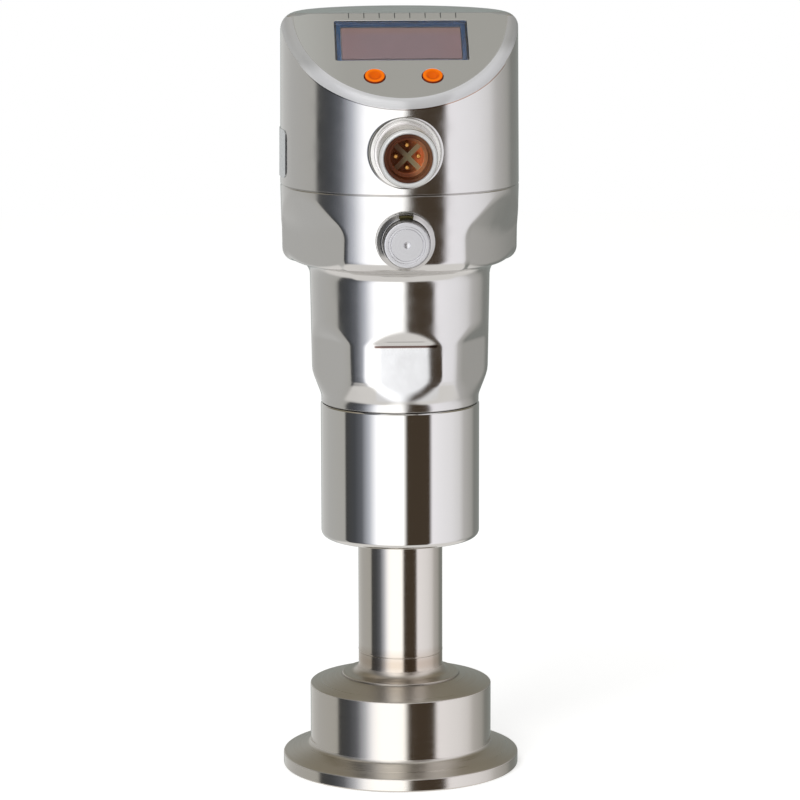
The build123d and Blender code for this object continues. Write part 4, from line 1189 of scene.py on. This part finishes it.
def buildHousing(sizes):
    edge = sizes["seamEdge"]
    shape = turned(withSizes(sizes, [
        ("bore", "low", 0),
        (sizes["footRadius"] - edge, "low", 0.05),
        ("footRadius", sizes["low"] + edge, 0.1),
        ("footRadius", "flareLow", "footFillet"),
        ("flareRadius", "flareHigh", "flareFillet"),
        ("waistRadius", "underside", "undersideFillet"),
        ("headBaseRadius", "underside", "headFillet"),
        ("headRadius", sizes["high"] - edge, 0.1),
        (sizes["headRadius"] - edge, "high", 0.05),
        ("lipRadius", "high", 0),
        ("lipRadius", "lipFloor", 0),
        ("cavityRadius", "lipFloor", 0.5),
        ("cavityRadius", "cavityFloor", 2.0),
        ("upperBore", "underside", 2.0),
        ("upperBore", "ledge", 0),
        ("lowerBore", "ledge", 0),
        ("lowerBore", "floorTop", 0),
        ("bore", "floorTop", 0),
    ]), 324, upright, 0.3, castOutline(sizes))

    turn = fullTurn(96)
    around = np.stack([np.cos(turn), 0 * turn, np.sin(turn)], 1)
    frontward = np.tile((0.0, -1.0, 0.0), (len(turn), 1))

    def onWall(radius, seat):
        x, z = radius * np.cos(turn), sizes["ventHeight"] + radius * np.sin(turn)
        wall = np.sqrt(headWall(sizes, z) ** 2 - x ** 2)
        depth = np.minimum(wall, seat) if seat else wall
        return np.stack([x, -depth, z], 1)

    spot = sizes["ventSpot"]
    loop = onWall(spot + 0.06, None)
    wallNormals = unit(np.stack([loop[:, 0], loop[:, 1], 0 * turn], 1))
    fillet = sizes["headFillet"]
    drop = np.clip(sizes["underside"] + fillet - loop[:, 2], 0, None) / fillet
    wallNormals = unit(wallNormals * np.sqrt(1 - drop ** 2)[:, None] - drop[:, None] * upward)
    middle = (0, sizes["ventHeight"], sizes["lipRadius"] + 0.3)
    openRound(shape, middle, sizes["underside"] - 1, loop, wallNormals)
    rings = [(loop, wallNormals), (onWall(spot, None), -around), (onWall(spot, sizes["ventSeat"]), -around)]
    for radius in (spot - 0.06, 4.5, 3, 1.5):
        rings.append((onWall(radius, sizes["ventSeat"]), frontward))
    ringsInward(shape, rings)
    addPiece("housing", shape, "housing", "cast_steel", "lower_housing", finish="housing")


print("lower housing")
buildHousing(housingSizes)


# Upper cover: a turned casting cut by the slanted face

coverSizes = {
    "seam": housingSizes["high"],
    "top": corners("upper_cover")[1][2],
    "radius": 25.1,
    "topRadius": 24.85,
    "seamEdge": 0.25,
    "slope": 36.5,
    "faceLow": 144.8,
    "topFillet": 3.5,
    "faceFillet": 2.5,
    "filletEase": (60.0, 50.0),     # bearing from which the fillet grows, and the arc that it takes
    "ridgeRadius": 0.8,
    "ridgeEase": 3.5,
    "wall": 2.3,
    "faceThickness": 2.4,
    "innerFillet": 1.5,
    "lipRadius": 22.77,
    "lipBore": 20.77,
    "lipLow": 122.1,
    "lipRise": 2.0,
    "windowWidth": 27.6,
    "windowHeight": 12.5,
    "windowUp": 19.34,
    "windowCorner": 0.5,
    "windowDepth": 1.5,
    "windowSeat": 1.02,
    "windowEdge": 0.12,
    "windowLedge": 1.25,
    "buttonSpacing": 11.86,
    "buttonUp": 8.09,
    "buttonHole": 2.25,
    "buttonEdge": 0.1,
    "sealSeat": 1.0,
    "sealRadius": 3.1,
    "bossHeight": 134.5,
    "bossRadius": 7.2,
    "bossFillet": 1.0,
    "bossFilletLeast": 0.35,        # share of it that is left over and under the boss
    "bossFront": 26.0,
    "bossEdge": 0.12,
}
faceTurn = math.radians(coverSizes["slope"])
faceUp = np.array([0, math.cos(faceTurn), math.sin(faceTurn)])
faceOut = np.array([0, -math.sin(faceTurn), math.cos(faceTurn)])
faceOrigin = np.array([0, -coverSizes["radius"], coverSizes["faceLow"]])


def onFace(across, up, depth=0.0):
    # place on the slanted face, measured up the slope from its front lip
    return faceOrigin + across * np.array([1.0, 0, 0]) + up * faceUp - depth * faceOut


def faceAxis(across, up):
    return onFace(across, up), (1, 0, 0), faceUp, faceOut


def roundedRectangle(width, height, corner, steps=6):
    # loop of (across, up) points and their outward directions
    places, outward = [], []
    for quarter in range(4):
        middle = (quarter + 0.5) * math.pi / 2
        x = math.copysign(width / 2 - corner, math.cos(middle))
        y = math.copysign(height / 2 - corner, math.sin(middle))
        for step in range(steps + 1):
            turn = (quarter + step / steps) * math.pi / 2
            direction = np.array([math.cos(turn), math.sin(turn)])
            places.append(np.array([x, y]) + corner * direction)
            outward.append(direction)
    return np.array(places), np.array(outward)


def ringOf(radius, steps=64):
    turn = fullTurn(steps)
    outward = np.stack([np.cos(turn), np.sin(turn)], 1)
    return radius * outward, outward


def faceRing(centre, loop, grow, depth, out, up):
    # a loop on the slanted face, grown and sunk, with normals that mix outward and face directions
    places, outward = loop
    flat = places + grow * outward + np.array(centre)
    points = np.array([onFace(x, y, depth) for x, y in flat])
    normals = out * (outward[:, :1] * np.array([1.0, 0, 0]) + outward[:, 1:] * faceUp) + up * faceOut
    return points, unit(normals)


def smooth(share):
    return share * share * (3 - 2 * share)


def openingRings(edge, seat, step, thickness, soft=0.02):
    # rim, wall, seat and lower wall of an opening that widens by a step under its seat, or narrows
    side = math.copysign(1, step)
    return [
        (edge, 0, 0, 1), (0, edge, -1, 0), (0, seat - soft, -1, 0), (side * soft, seat, 0, -side),
        (step - side * soft, seat, 0, -side), (step, seat + soft, -1, 0), (step, thickness - soft, -1, 0),
        (step + soft, thickness, 0, -1),
    ]


class CapSurface:
    # wall, rolled edge, roof and slanted face of the cover, outside or inside
    def __init__(self, sizes, inset, fillets, ridgeRadius, facing):
        self.sizes, self.inset, self.fillets = sizes, inset, fillets
        self.ridgeRadius, self.facing = ridgeRadius, facing
        self.depth = sizes["faceThickness"] * (inset > 0)
        self.roof = sizes["top"] - inset
        span = sizes["top"] - sizes["seam"] - sizes["seamEdge"]
        self.taper = (sizes["radius"] - sizes["topRadius"]) / span
        self.lean = math.atan(self.taper)
        self.ridge = self.findRidge()

    def wall(self, height):
        low = self.sizes["seam"] + self.sizes["seamEdge"]
        return self.sizes["radius"] - self.inset - self.taper * (height - low)

    def fillet(self, bearing):
        start, arc = self.sizes["filletEase"]
        share = smooth(min(1, max(0, (abs(bearing) - start) / arc)))
        return self.fillets[0] + (self.fillets[1] - self.fillets[0]) * share

    def ball(self, bearing, onTop, radius=None):
        # centre of the ball that rolls along the edge: distance from the axis, and height
        radius = radius or self.fillet(bearing)
        height = self.roof - radius
        reach = self.wall(height) - radius / math.cos(self.lean)
        for _ in range(0 if onTop else 12):
            forward = reach * math.cos(math.radians(bearing))
            height = self.sizes["faceLow"] + (self.sizes["radius"] - forward) * math.tan(faceTurn)
            height -= (radius + self.depth) / math.cos(faceTurn)
            reach = self.wall(height) - radius / math.cos(self.lean)
        return reach, height

    def findRidge(self):
        # bearing at which the slanted face's edge meets the roof's
        low, high = 60.0, 120.0
        for _ in range(60):
            middle = (low + high) / 2
            if self.ball(middle, False)[1] < self.ball(middle, True)[1]:
                low = middle
            else:
                high = middle
        return low

    def arc(self, bearing, onTop, capNormal, steps=10):
        reach, height = self.ball(bearing, onTop)
        turn = math.radians(bearing)
        outward = np.array([math.sin(turn), -math.cos(turn), 0])
        centre = reach * outward + height * upward
        wallNormal = outward * math.cos(self.lean) + np.array([0, 0, math.sin(self.lean)])
        normals = arcBetween(wallNormal, capNormal, steps)
        return centre + self.fillet(bearing) * normals, normals

    def addZone(self, shape, bearings, onTop, start, wallRows):
        # wall and rolled edge over a range of bearings; gives the edge's inner rim
        capNormal = upward if onTop else faceOut
        columns, directions = [], []
        for bearing in bearings:
            points, normals = self.arc(bearing, onTop, capNormal)
            outward = unit(points[0] * np.array([1, 1, 0]))
            heights = np.linspace(start, points[0][2], wallRows + 1)[:-1]
            wallPoints = [outward * self.wall(height) + height * upward for height in heights]
            columns.append(np.vstack([wallPoints, points]))
            directions.append(np.vstack([np.repeat(normals[:1], wallRows, 0), normals]))
        grid = np.array(columns).transpose(1, 0, 2)
        shape.addGrid(grid, self.facing * np.array(directions).transpose(1, 0, 2))
        return grid[-1]

    def addTo(self, shape, bearings, start, wallRows, holes):
        bearings = np.array(bearings)
        slant = np.sort(bearings[np.abs(bearings) <= self.ridge + tiny])
        roof = np.sort(np.where(bearings < 0, bearings + 360, bearings))
        roof = roof[(roof >= self.ridge - tiny) & (roof <= 360 - self.ridge + tiny)]
        slantRim = self.addZone(shape, slant, False, start, wallRows)
        roofRim = self.addZone(shape, roof, True, start, wallRows)
        bridge = arcBetween(faceOut, upward, 5)
        for side in (self.ridge, -self.ridge):
            fans = [self.arc(side, True, normal) for normal in bridge]
            shape.addGrid(np.array([fan[0] for fan in fans]).transpose(1, 0, 2),
                          self.facing * np.array([fan[1] for fan in fans]).transpose(1, 0, 2))
        reach, _ = self.ball(self.ridge, True)
        half = reach * math.sin(math.radians(self.ridge))
        ease, full = self.sizes["ridgeEase"], self.fillet(self.ridge)
        strip = []
        for across in np.concatenate([np.linspace(-half, -half + ease, 9), np.linspace(half - ease, half, 9)]):
            share = smooth(min(1.0, (half - abs(across)) / ease))
            radius = full + (self.ridgeRadius - full) * share
            height = self.roof - radius
            rise = height - self.sizes["faceLow"] + (radius + self.depth) / math.cos(faceTurn)
            forward = self.sizes["radius"] - rise / math.tan(faceTurn)
            strip.append(np.array([across, -forward, height]) + radius * bridge)
        strip = np.array(strip)
        shape.addGrid(strip, self.facing * np.repeat(bridge[None], len(strip), 0))
        shape.addFlat([np.vstack([slantRim, strip[1:-1, 0][::-1]])] + holes, self.facing * faceOut)
        shape.addFlat([np.vstack([roofRim, strip[1:-1, -1]])], self.facing * upward)


def addLip(shape, line, bearings):
    # turned rows from the inner wall round the lip to the outer wall
    rows = [(np.array(line[0]), None)]
    for first, last in zip(line[:-1], line[1:]):
        run = unit(np.subtract(last, first))
        normal = np.array([run[1], -run[0]])
        rows += [(np.array(first) + 0.05 * run, normal), (np.array(last) - 0.05 * run, normal)]
    rows.append((np.array(line[-1]), np.array([1.0, 0])))
    rows[0] = (rows[0][0], rows[1][1])
    turn = np.radians(np.append(bearings, bearings[0]))
    outward = np.stack([np.sin(turn), -np.cos(turn), 0 * turn], 1)
    points = [place[0] * outward + place[1] * upward for place, _ in rows]
    normals = [normal[0] * outward + normal[1] * upward for _, normal in rows]
    shape.addGrid(np.array(points), np.array(normals))


def addBoss(shape, sizes, cover, steps=96):
    # boss under the connector, with the fillet where it leaves the round wall
    turn = fullTurn(steps)
    radius, front, edge = sizes["bossRadius"], sizes["bossFront"], sizes["bossEdge"]
    least = sizes["bossFilletLeast"]
    fillet = sizes["bossFillet"] * (least + (1 - least) * np.cos(turn) ** 2)
    x, z = (radius + fillet) * np.cos(turn), sizes["bossHeight"] + (radius + fillet) * np.sin(turn)
    wall = cover.wall(z)
    forward = np.sqrt((wall + fillet) ** 2 - x ** 2)
    centres = np.stack([x, -forward, z], 1)
    away = unit(np.stack([x, -forward, 0 * x], 1))
    around = np.stack([np.cos(turn), 0 * turn, np.sin(turn)], 1)
    arcs = np.array([arcBetween(a, b, 6) for a, b in zip(away, around)])
    rings = [(centres - fillet[:, None] * arcs[:, step], arcs[:, step]) for step in range(7)]
    middle = sizes["bossHeight"] * upward
    frontward = np.array([0, -1.0, 0])
    for step in range(5):
        lean = step / 4 * math.pi / 2
        ring = middle + (radius - edge + edge * math.cos(lean)) * around
        ring = ring + (front - edge + edge * math.sin(lean)) * frontward
        rings.append((ring, math.cos(lean) * around + math.sin(lean) * frontward))
    for ringRadius in (6.2, 4.0, 2.0):
        rings.append((middle + ringRadius * around + front * frontward, np.repeat(frontward[None], steps, 0)))
    openRound(shape, (0, sizes["bossHeight"], sizes["radius"] - sizes["wall"] + 0.5),
              sizes["seam"] + sizes["seamEdge"], *rings[0])
    ringsInward(shape, rings)


def buildCover(sizes):
    shape = Shape()
    outer = CapSurface(sizes, 0, (sizes["faceFillet"], sizes["topFillet"]), sizes["ridgeRadius"], 1)
    inner = CapSurface(sizes, sizes["wall"], (sizes["innerFillet"],) * 2, sizes["ridgeRadius"], -1)
    bearings = np.arange(-180, 180, 1.5)
    extra = [side * cap.ridge for cap in (outer, inner) for side in (-1, 1)]
    bearings = np.sort(np.concatenate([bearings, extra]))
    thickness = sizes["faceThickness"]
    holes = {
        (0.0, sizes["windowUp"]): (
            roundedRectangle(sizes["windowWidth"], sizes["windowHeight"], sizes["windowCorner"]),
            openingRings(sizes["windowEdge"], sizes["windowDepth"], -sizes["windowSeat"], thickness),
        ),
    }
    sealStep = sizes["sealRadius"] - sizes["buttonHole"]
    for side in (-1, 1):
        holes[(side * sizes["buttonSpacing"] / 2, sizes["buttonUp"])] = (
            ringOf(sizes["buttonHole"]),
            openingRings(sizes["buttonEdge"], sizes["sealSeat"], sealStep, thickness),
        )
    outerLoops, innerLoops = [], []
    for centre, (loop, rings) in holes.items():
        made = [faceRing(centre, loop, *ring) for ring in rings]
        shape.addGrid(np.array([ring[0] for ring in made]), np.array([ring[1] for ring in made]),
                      closeColumns=True)
        outerLoops.append(made[0][0])
        innerLoops.append(made[-1][0])
    wallStart = sizes["seam"] + sizes["seamEdge"]
    innerStart = sizes["seam"] + sizes["lipRise"]
    outer.addTo(shape, bearings, wallStart, 30, outerLoops)
    inner.addTo(shape, bearings, innerStart, 8, innerLoops)
    addLip(shape, [
        (inner.wall(innerStart), innerStart),
        (sizes["lipBore"], sizes["seam"]),
        (sizes["lipBore"], sizes["lipLow"]),
        (sizes["lipRadius"], sizes["lipLow"]),
        (sizes["lipRadius"], sizes["seam"]),
        (sizes["radius"] - sizes["seamEdge"], sizes["seam"]),
        (sizes["radius"], wallStart),
    ], bearings)
    addBoss(shape, sizes, outer)
    addPiece("cover", shape, "housing", "cast_steel", "upper_cover", finish="cover")


print("upper cover")
buildCover(coverSizes)


# Window: pane, glued frame and display behind it

windowSizes = {
    "gap": 0.06,
    "setback": 0.2,
    "thickness": 1.0,
    "frameThickness": 0.3,
    "frameTrim": 0.5,
    "openingCorner": 0.2,
    "corner": 0.45,
    "displayWidth": 24.8,
    "displayHeight": 9.7,
    "displayDepth": 1.3,
    "displayCorner": 0.3,
    "boardDepth": 6.5,
}


def buildWindow(sizes, cover):
    axis = faceAxis(0, cover["windowUp"])
    width, height = cover["windowWidth"] - 2 * sizes["gap"], cover["windowHeight"] - 2 * sizes["gap"]
    rim = roundedRectangle(width, height, sizes["corner"])
    opening = roundedRectangle(cover["windowWidth"] - 2 * cover["windowLedge"],
                               cover["windowHeight"] - 2 * cover["windowLedge"] + sizes["frameTrim"],
                               sizes["openingCorner"])
    back = -sizes["setback"] - sizes["thickness"]
    pane = plate(axis, rim, [], back, -sizes["setback"], 0.08)
    addPiece("windowPane", pane, "housing", "window_pane", "display_window")
    glued = plate(axis, rim, [opening], back - sizes["frameThickness"], back, 0.03)
    addPiece("windowFrame", glued, "housing", "blue_frame", "display_frame")
    face = roundedRectangle(sizes["displayWidth"], sizes["displayHeight"], sizes["displayCorner"])
    display = plate(axis, face, [], -sizes["boardDepth"], -sizes["displayDepth"], 0.1)
    addPiece("displayModule", display, "housing", "display_face", "display_module")


# Row of plain printed ticks above the window

tickSizes = {"count": 8, "pitch": 3.19, "width": 0.2, "low": 26.37, "high": 27.99, "middle": 0.45, "ink": 0.02}


def buildTicks(sizes):
    shape = Shape()
    up = (sizes["low"] + sizes["high"]) / 2
    for index in range(sizes["count"]):
        across = sizes["middle"] + (index - (sizes["count"] - 1) / 2) * sizes["pitch"]
        mark = roundedRectangle(sizes["width"], sizes["high"] - sizes["low"], 0.05, 2)
        plate(faceAxis(across, up), mark, [], -sizes["ink"], sizes["ink"], 0.01, shape)
    addPiece("faceTicks", shape, "housing", "black_plastic", finish="print")


# Push buttons

buttonSizes = {
    "radius": 2.08,
    "proud": 0.28,
    "edge": 0.2,
    "dishRadius": 1.45,
    "dishDepth": 0.45,
    "flangeRadius": 3.7,
    "flangeTop": -2.45,
    "flangeLow": -3.15,
}


def buildButton(sizes, cover, name, side, node):
    radius, proud, dish = sizes["radius"], sizes["proud"], sizes["dishRadius"]

    def sink(across, along, angle):
        share = np.clip(1 - (across / dish) ** 2, 0, 1)
        return across, along - sizes["dishDepth"] * share ** 1.5 * (along > 0.1)

    shape = turned(withSizes(sizes, [
        (0, "flangeLow", 0),
        ("flangeRadius", "flangeLow", 0.1),
        ("flangeRadius", "flangeTop", 0.1),
        (radius, "flangeTop", 0),
        (radius, proud, "edge"),
        (dish, proud, 0, 0.12),
        (0, proud, 0),
    ]), 96, faceAxis(side * cover["buttonSpacing"] / 2, cover["buttonUp"]), reshape=sink)
    addPiece(name, shape, node, "orange_plastic", node)


print("window and buttons")
buildWindow(windowSizes, coverSizes)
buildTicks(tickSizes)
buildButton(buttonSizes, coverSizes, "modeButton", -1, "mode_button")
buildButton(buttonSizes, coverSizes, "setButton", 1, "set_button")


# Round connector: threaded shell, amber insert with crossed ribs, and its contacts

connectorSizes = {
    "rear": 18.9,
    "shankRadius": 5.7,
    "bore": 4.95,
    "seat": coverSizes["bossFront"],
    "ringRadius": 6.5,
    "ringFront": 27.1,
    "reliefRadius": 5.4,
    "reliefFront": 27.9,
    "threadRadius": 6.0,
    "threadLow": 28.1,
    "threadHigh": 36.2,
    "threadPitch": 1.0,
    "threadDepth": 0.42,
    "threadCrest": 0.15,
    "threadEase": 0.6,
    "tipRadius": 5.6,
    "tipLow": 36.4,
    "front": 37.1,
    "insertRadius": 4.93,
    "insertRear": 16.9,
    "insertFront": 36.7,
    "mouthRadius": 4.2,
    "mouthFloor": 32.7,
    "wellRadius": 3.4,
    "wellFloor": 27.7,
    "ribThickness": 1.1,
    "ribFront": 32.5,
    "pinRadius": 0.5,
    "pinCircle": 2.3,
    "pinRear": 7.0,
    "pinFront": 32.1,
    "pinTip": 0.3,
}


def buildShell(sizes, axis):
    def cutThread(radius, along, angle):
        turn = (along / sizes["threadPitch"] - angle / (2 * math.pi)) % 1
        crest, fade = sizes["threadCrest"], sizes["threadEase"]
        groove = np.clip((1 - np.abs(2 * turn - 1) - crest) / (1 - 2 * crest), 0, 1)
        ease = np.clip(along - sizes["threadLow"], 0, fade) / fade
        ease = ease * np.clip(sizes["threadHigh"] - along, 0, fade) / fade
        onThread = (radius > sizes["threadRadius"] - 0.02) & (along > sizes["threadLow"] - 0.01)
        return np.where(onThread, radius - sizes["threadDepth"] * groove * ease, radius), along

    shape = turned(withSizes(sizes, [
        ("bore", "rear", 0),
        ("shankRadius", "rear", 0.1),
        ("shankRadius", "seat", 0),
        ("ringRadius", "seat", 0),
        ("ringRadius", "ringFront", 0.25),
        ("reliefRadius", "ringFront", 0.1),
        ("reliefRadius", "reliefFront", 0.1),
        ("threadRadius", "threadLow", 0.05, 0.1),
        ("threadRadius", "tipLow", 0.3),
        ("tipRadius", sizes["front"] - 0.15, 0.15),
        (sizes["tipRadius"] - 0.3, "front", 0.1),
        (sizes["bore"] + 0.2, "front", 0.1),
        ("bore", sizes["front"] - 0.3, 0.1),
    ]), 144, axis, reshape=cutThread)
    addPiece("connectorShell", shape, "housing", "connector_metal", "connector_shell")


def buildInsert(sizes, axis):
    shape = turned(withSizes(sizes, [
        (0, "insertRear", 0),
        ("insertRadius", "insertRear", 0.2),
        ("insertRadius", "insertFront", 0.08),
        ("mouthRadius", "insertFront", 0.3),
        ("mouthRadius", "mouthFloor", 0.15),
        ("wellRadius", "mouthFloor", 0.12),
        ("wellRadius", "wellFloor", 0.15),
        (0, "wellFloor", 0),
    ]), 144, axis)
    addPiece("connectorInsert", shape, "housing", "amber_plastic", "connector_insert")
    half, reach = sizes["ribThickness"] / 2, sizes["wellRadius"] + 0.05
    corner = [(reach, -half), (reach, half), (half, half)]
    cross = []
    for quarter in range(4):
        turn = math.radians(45 + 90 * quarter)
        cross += [(x * math.cos(turn) - y * math.sin(turn), x * math.sin(turn) + y * math.cos(turn))
                  for x, y in corner]
    ribs = plate(axis, cornerLoop(cross, 0.12), [], sizes["wellFloor"] - 0.1, sizes["ribFront"], 0.1)
    addPiece("connectorRibs", ribs, "housing", "amber_plastic", finish="amberRibs")
    pins = Shape()
    for across, up in ((1, 0), (0, 1), (-1, 0), (0, -1)):
        turned(withSizes(sizes, [
            (0, "pinRear", 0),
            ("pinRadius", "pinRear", 0.1),
            ("pinRadius", "pinFront", "pinTip"),
            (0, "pinFront", 0),
        ]), 32, forwardAt(coverSizes["bossHeight"], across * sizes["pinCircle"], up * sizes["pinCircle"]),
            shape=pins)
    addPiece("connectorPins", pins, "housing", "gold_contact", "connector_pins")


print("connector")
connectorAxis = forwardAt(coverSizes["bossHeight"])
buildShell(connectorSizes, connectorAxis)
buildInsert(connectorSizes, connectorAxis)


# Vent plug: bevelled ring with a notch, and the disc in front of it

ventSizes = {
    "rear": 17.85,
    "shankRadius": 4.5,
    "sealSeat": 24.95,
    "sealRadius": 5.3,
    "seat": housingSizes["ventSeat"],
    "radius": 5.95,
    "shoulder": 26.9,
    "bevelRadius": 5.35,
    "bevelFront": 27.5,
    "mouthRadius": 5.0,
    "front": 27.8,
    "socketRadius": 4.9,
    "socketFloor": 25.9,
    "wellRadius": 3.2,
    "wellFloor": 25.6,
    "bore": 1.8,
    "notchAngle": 15.75,
    "notchRadius": 5.67,
    "discRadius": 4.8,
    "discFront": 31.5,
    "discEdge": 0.35,
    "discWall": 1.1,
    "dimpleRadius": 0.7,
    "dimpleDepth": 0.3,
    "grooves": (3.78, 3.3),
    "grooveDepth": 0.035,
}


def buildVent(sizes, axis):
    def cutNotch(radius, along, angle):
        degrees = np.abs((np.degrees(angle) + 180) % 360 - 180)
        inside = (degrees < sizes["notchAngle"]) & (along > sizes["socketFloor"] + 0.01)
        inside &= (radius < sizes["notchRadius"]) & (radius > sizes["discRadius"])
        low = sizes["socketFloor"] + 0.02 * (along - sizes["socketFloor"])
        return radius, np.where(inside, low, along)

    notch = sizes["notchAngle"]
    border = [side * (notch + step) for side in (-1, 1) for step in (-0.5, -0.2, -0.04, 0.04, 0.2, 0.5)]
    plain = [value for value in np.arange(-180, 180, 2.25) if abs(abs(value) - notch) > 0.6]
    cut = sizes["notchRadius"]
    cutAlong = sizes["shoulder"] + sizes["radius"] - cut
    ring = turned(withSizes(sizes, [
        ("bore", "rear", 0),
        ("shankRadius", "rear", 0.2),
        ("shankRadius", "sealSeat", 0),
        ("sealRadius", "sealSeat", 0),
        ("sealRadius", "seat", 0),
        ("radius", "seat", 0.05),
        ("radius", "shoulder", 0.06),
        (cut + 0.02, cutAlong - 0.02, 0),
        (cut - 0.02, cutAlong + 0.02, 0),
        ("bevelRadius", "bevelFront", 0.05),
        ("mouthRadius", "front", 0.03),
        ("socketRadius", "front", 0.03),
        ("socketRadius", "socketFloor", 0.05),
        ("wellRadius", "socketFloor", 0),
        ("wellRadius", "wellFloor", 0),
        ("bore", "wellFloor", 0),
    ]), np.radians(sorted(plain + border)), axis, reshape=cutNotch)
    addPiece("ventRing", ring, "housing", "vent_steel", "vent_body")

    front, depth = sizes["discFront"], sizes["grooveDepth"]
    inner = sizes["discRadius"] - sizes["discWall"]
    outline = [
        (0, front - sizes["discWall"], 0),
        (inner, front - sizes["discWall"], 0.5),
        (inner, sizes["socketFloor"], 0),
        (sizes["discRadius"], sizes["socketFloor"], 0.1),
        (sizes["discRadius"], front, sizes["discEdge"]),
    ]
    for groove in sizes["grooves"]:
        outline += [(groove + 0.09, front, 0.05), (groove, front - depth, 0.05), (groove - 0.09, front, 0.05)]
    outline += [(sizes["dimpleRadius"], front, 0.15), (0, front - sizes["dimpleDepth"], 0)]
    disc = turned(outline, 144, axis)
    addPiece("ventDisc", disc, "housing", "vent_steel", "vent_disc", finish="ventCap")


print("vent")
buildVent(ventSizes, forwardAt(housingSizes["ventHeight"]))


# Label: a thin blank film wrapped on the left side of the head

labelSizes = {
    "low": coverSizes["seam"] + 1.8,
    "high": coverSizes["seam"] + 11.8,
    "thickness": 0.2,
    "edge": 0.05,
    "start": 73.0,
    "arc": 52.0,
    "corner": 1.6,
}


def buildLabel(sizes, cover):
    wall = CapSurface(cover, 0, (cover["faceFillet"], cover["topFillet"]), cover["ridgeRadius"], 1).wall
    corner, thickness, edge = sizes["corner"], sizes["thickness"], sizes["edge"]
    reach = cover["radius"] * math.radians(sizes["arc"]) / 2
    near = corner * (1 - np.cos(np.linspace(0, math.pi / 2, 9)))
    spots = np.concatenate([near, np.linspace(corner, 2 * reach - corner, 40)[1:-1], 2 * reach - near[::-1]])
    columns, directions = [], []
    for spot in spots:
        inset = corner - min(corner, spot, 2 * reach - spot)
        trim = corner - math.sqrt(max(0.0, corner ** 2 - inset ** 2))
        low, high = sizes["low"] + trim, sizes["high"] - trim
        turn = math.radians(-sizes["start"] - math.degrees(spot / cover["radius"]))
        outward = np.array([math.sin(turn), -math.cos(turn), 0])
        heights = np.linspace(low + edge, high - edge, 7)
        lift = [0, thickness - edge] + [thickness] * 7 + [thickness - edge, 0]
        levels = np.concatenate([[low, low], heights, [high, high]])
        facing = [-upward] * 2 + [outward] * 7 + [upward] * 2
        points = [outward * (wall(level) + rise) + upward * level for level, rise in zip(levels, lift)]
        inside = [outward * wall(level) + upward * level for level in heights[::-1]]
        columns.append(np.array(points + inside))
        directions.append(np.array(facing + [-outward] * 7))
    shape = Shape()
    shape.addGrid(np.array(columns).transpose(1, 0, 2), np.array(directions).transpose(1, 0, 2),
                  closeRows=True)
    for column, side in ((columns[0], 1), (columns[-1], -1)):
        turn = math.radians(-sizes["start"] - (0 if side > 0 else sizes["arc"]))
        endward = side * np.array([math.cos(turn), math.sin(turn), 0])
        outer, inner = column[1:10], np.vstack([column[0], column[11:][::-1], column[10]])
        shape.addGrid(np.array([outer, inner]), np.tile(endward, (18, 1)))
    addPiece("sideLabel", shape, "housing", "label_film", "side_label")


print("label")
buildLabel(labelSizes, coverSizes)


# Process diaphragm, waved and welded flush in the flange

diaphragmSizes = {
    "radius": 17.5,
    "thickness": 0.15,
    "upper": 0.45,
    "waveDrop": 0.15,
    "waveInner": 3.0,
    "wavePitch": 1.5125,
    "waveSteps": 8,
    "waveFillet": 1.5,
}


def buildDiaphragm(sizes):
    waves = [(sizes["waveInner"] + step * sizes["wavePitch"], sizes["upper"] - sizes["waveDrop"] * (step % 2))
             for step in range(sizes["waveSteps"] + 1)]
    lower = [(radius, height - sizes["thickness"], sizes["waveFillet"]) for radius, height in waves]
    upper = [(radius, height, sizes["waveFillet"]) for radius, height in waves[::-1]]
    shape = turned(
        [(0, sizes["upper"] - sizes["thickness"], 0)] + lower
        + [(sizes["radius"], sizes["upper"] - sizes["thickness"], 0), (sizes["radius"], sizes["upper"], 0)]
        + upper + [(0, sizes["upper"], 0)], 192)
    addPiece("diaphragm", shape, "process_connection", "diaphragm_steel",
             "process_diaphragm")


print("diaphragm")
buildDiaphragm(diaphragmSizes)
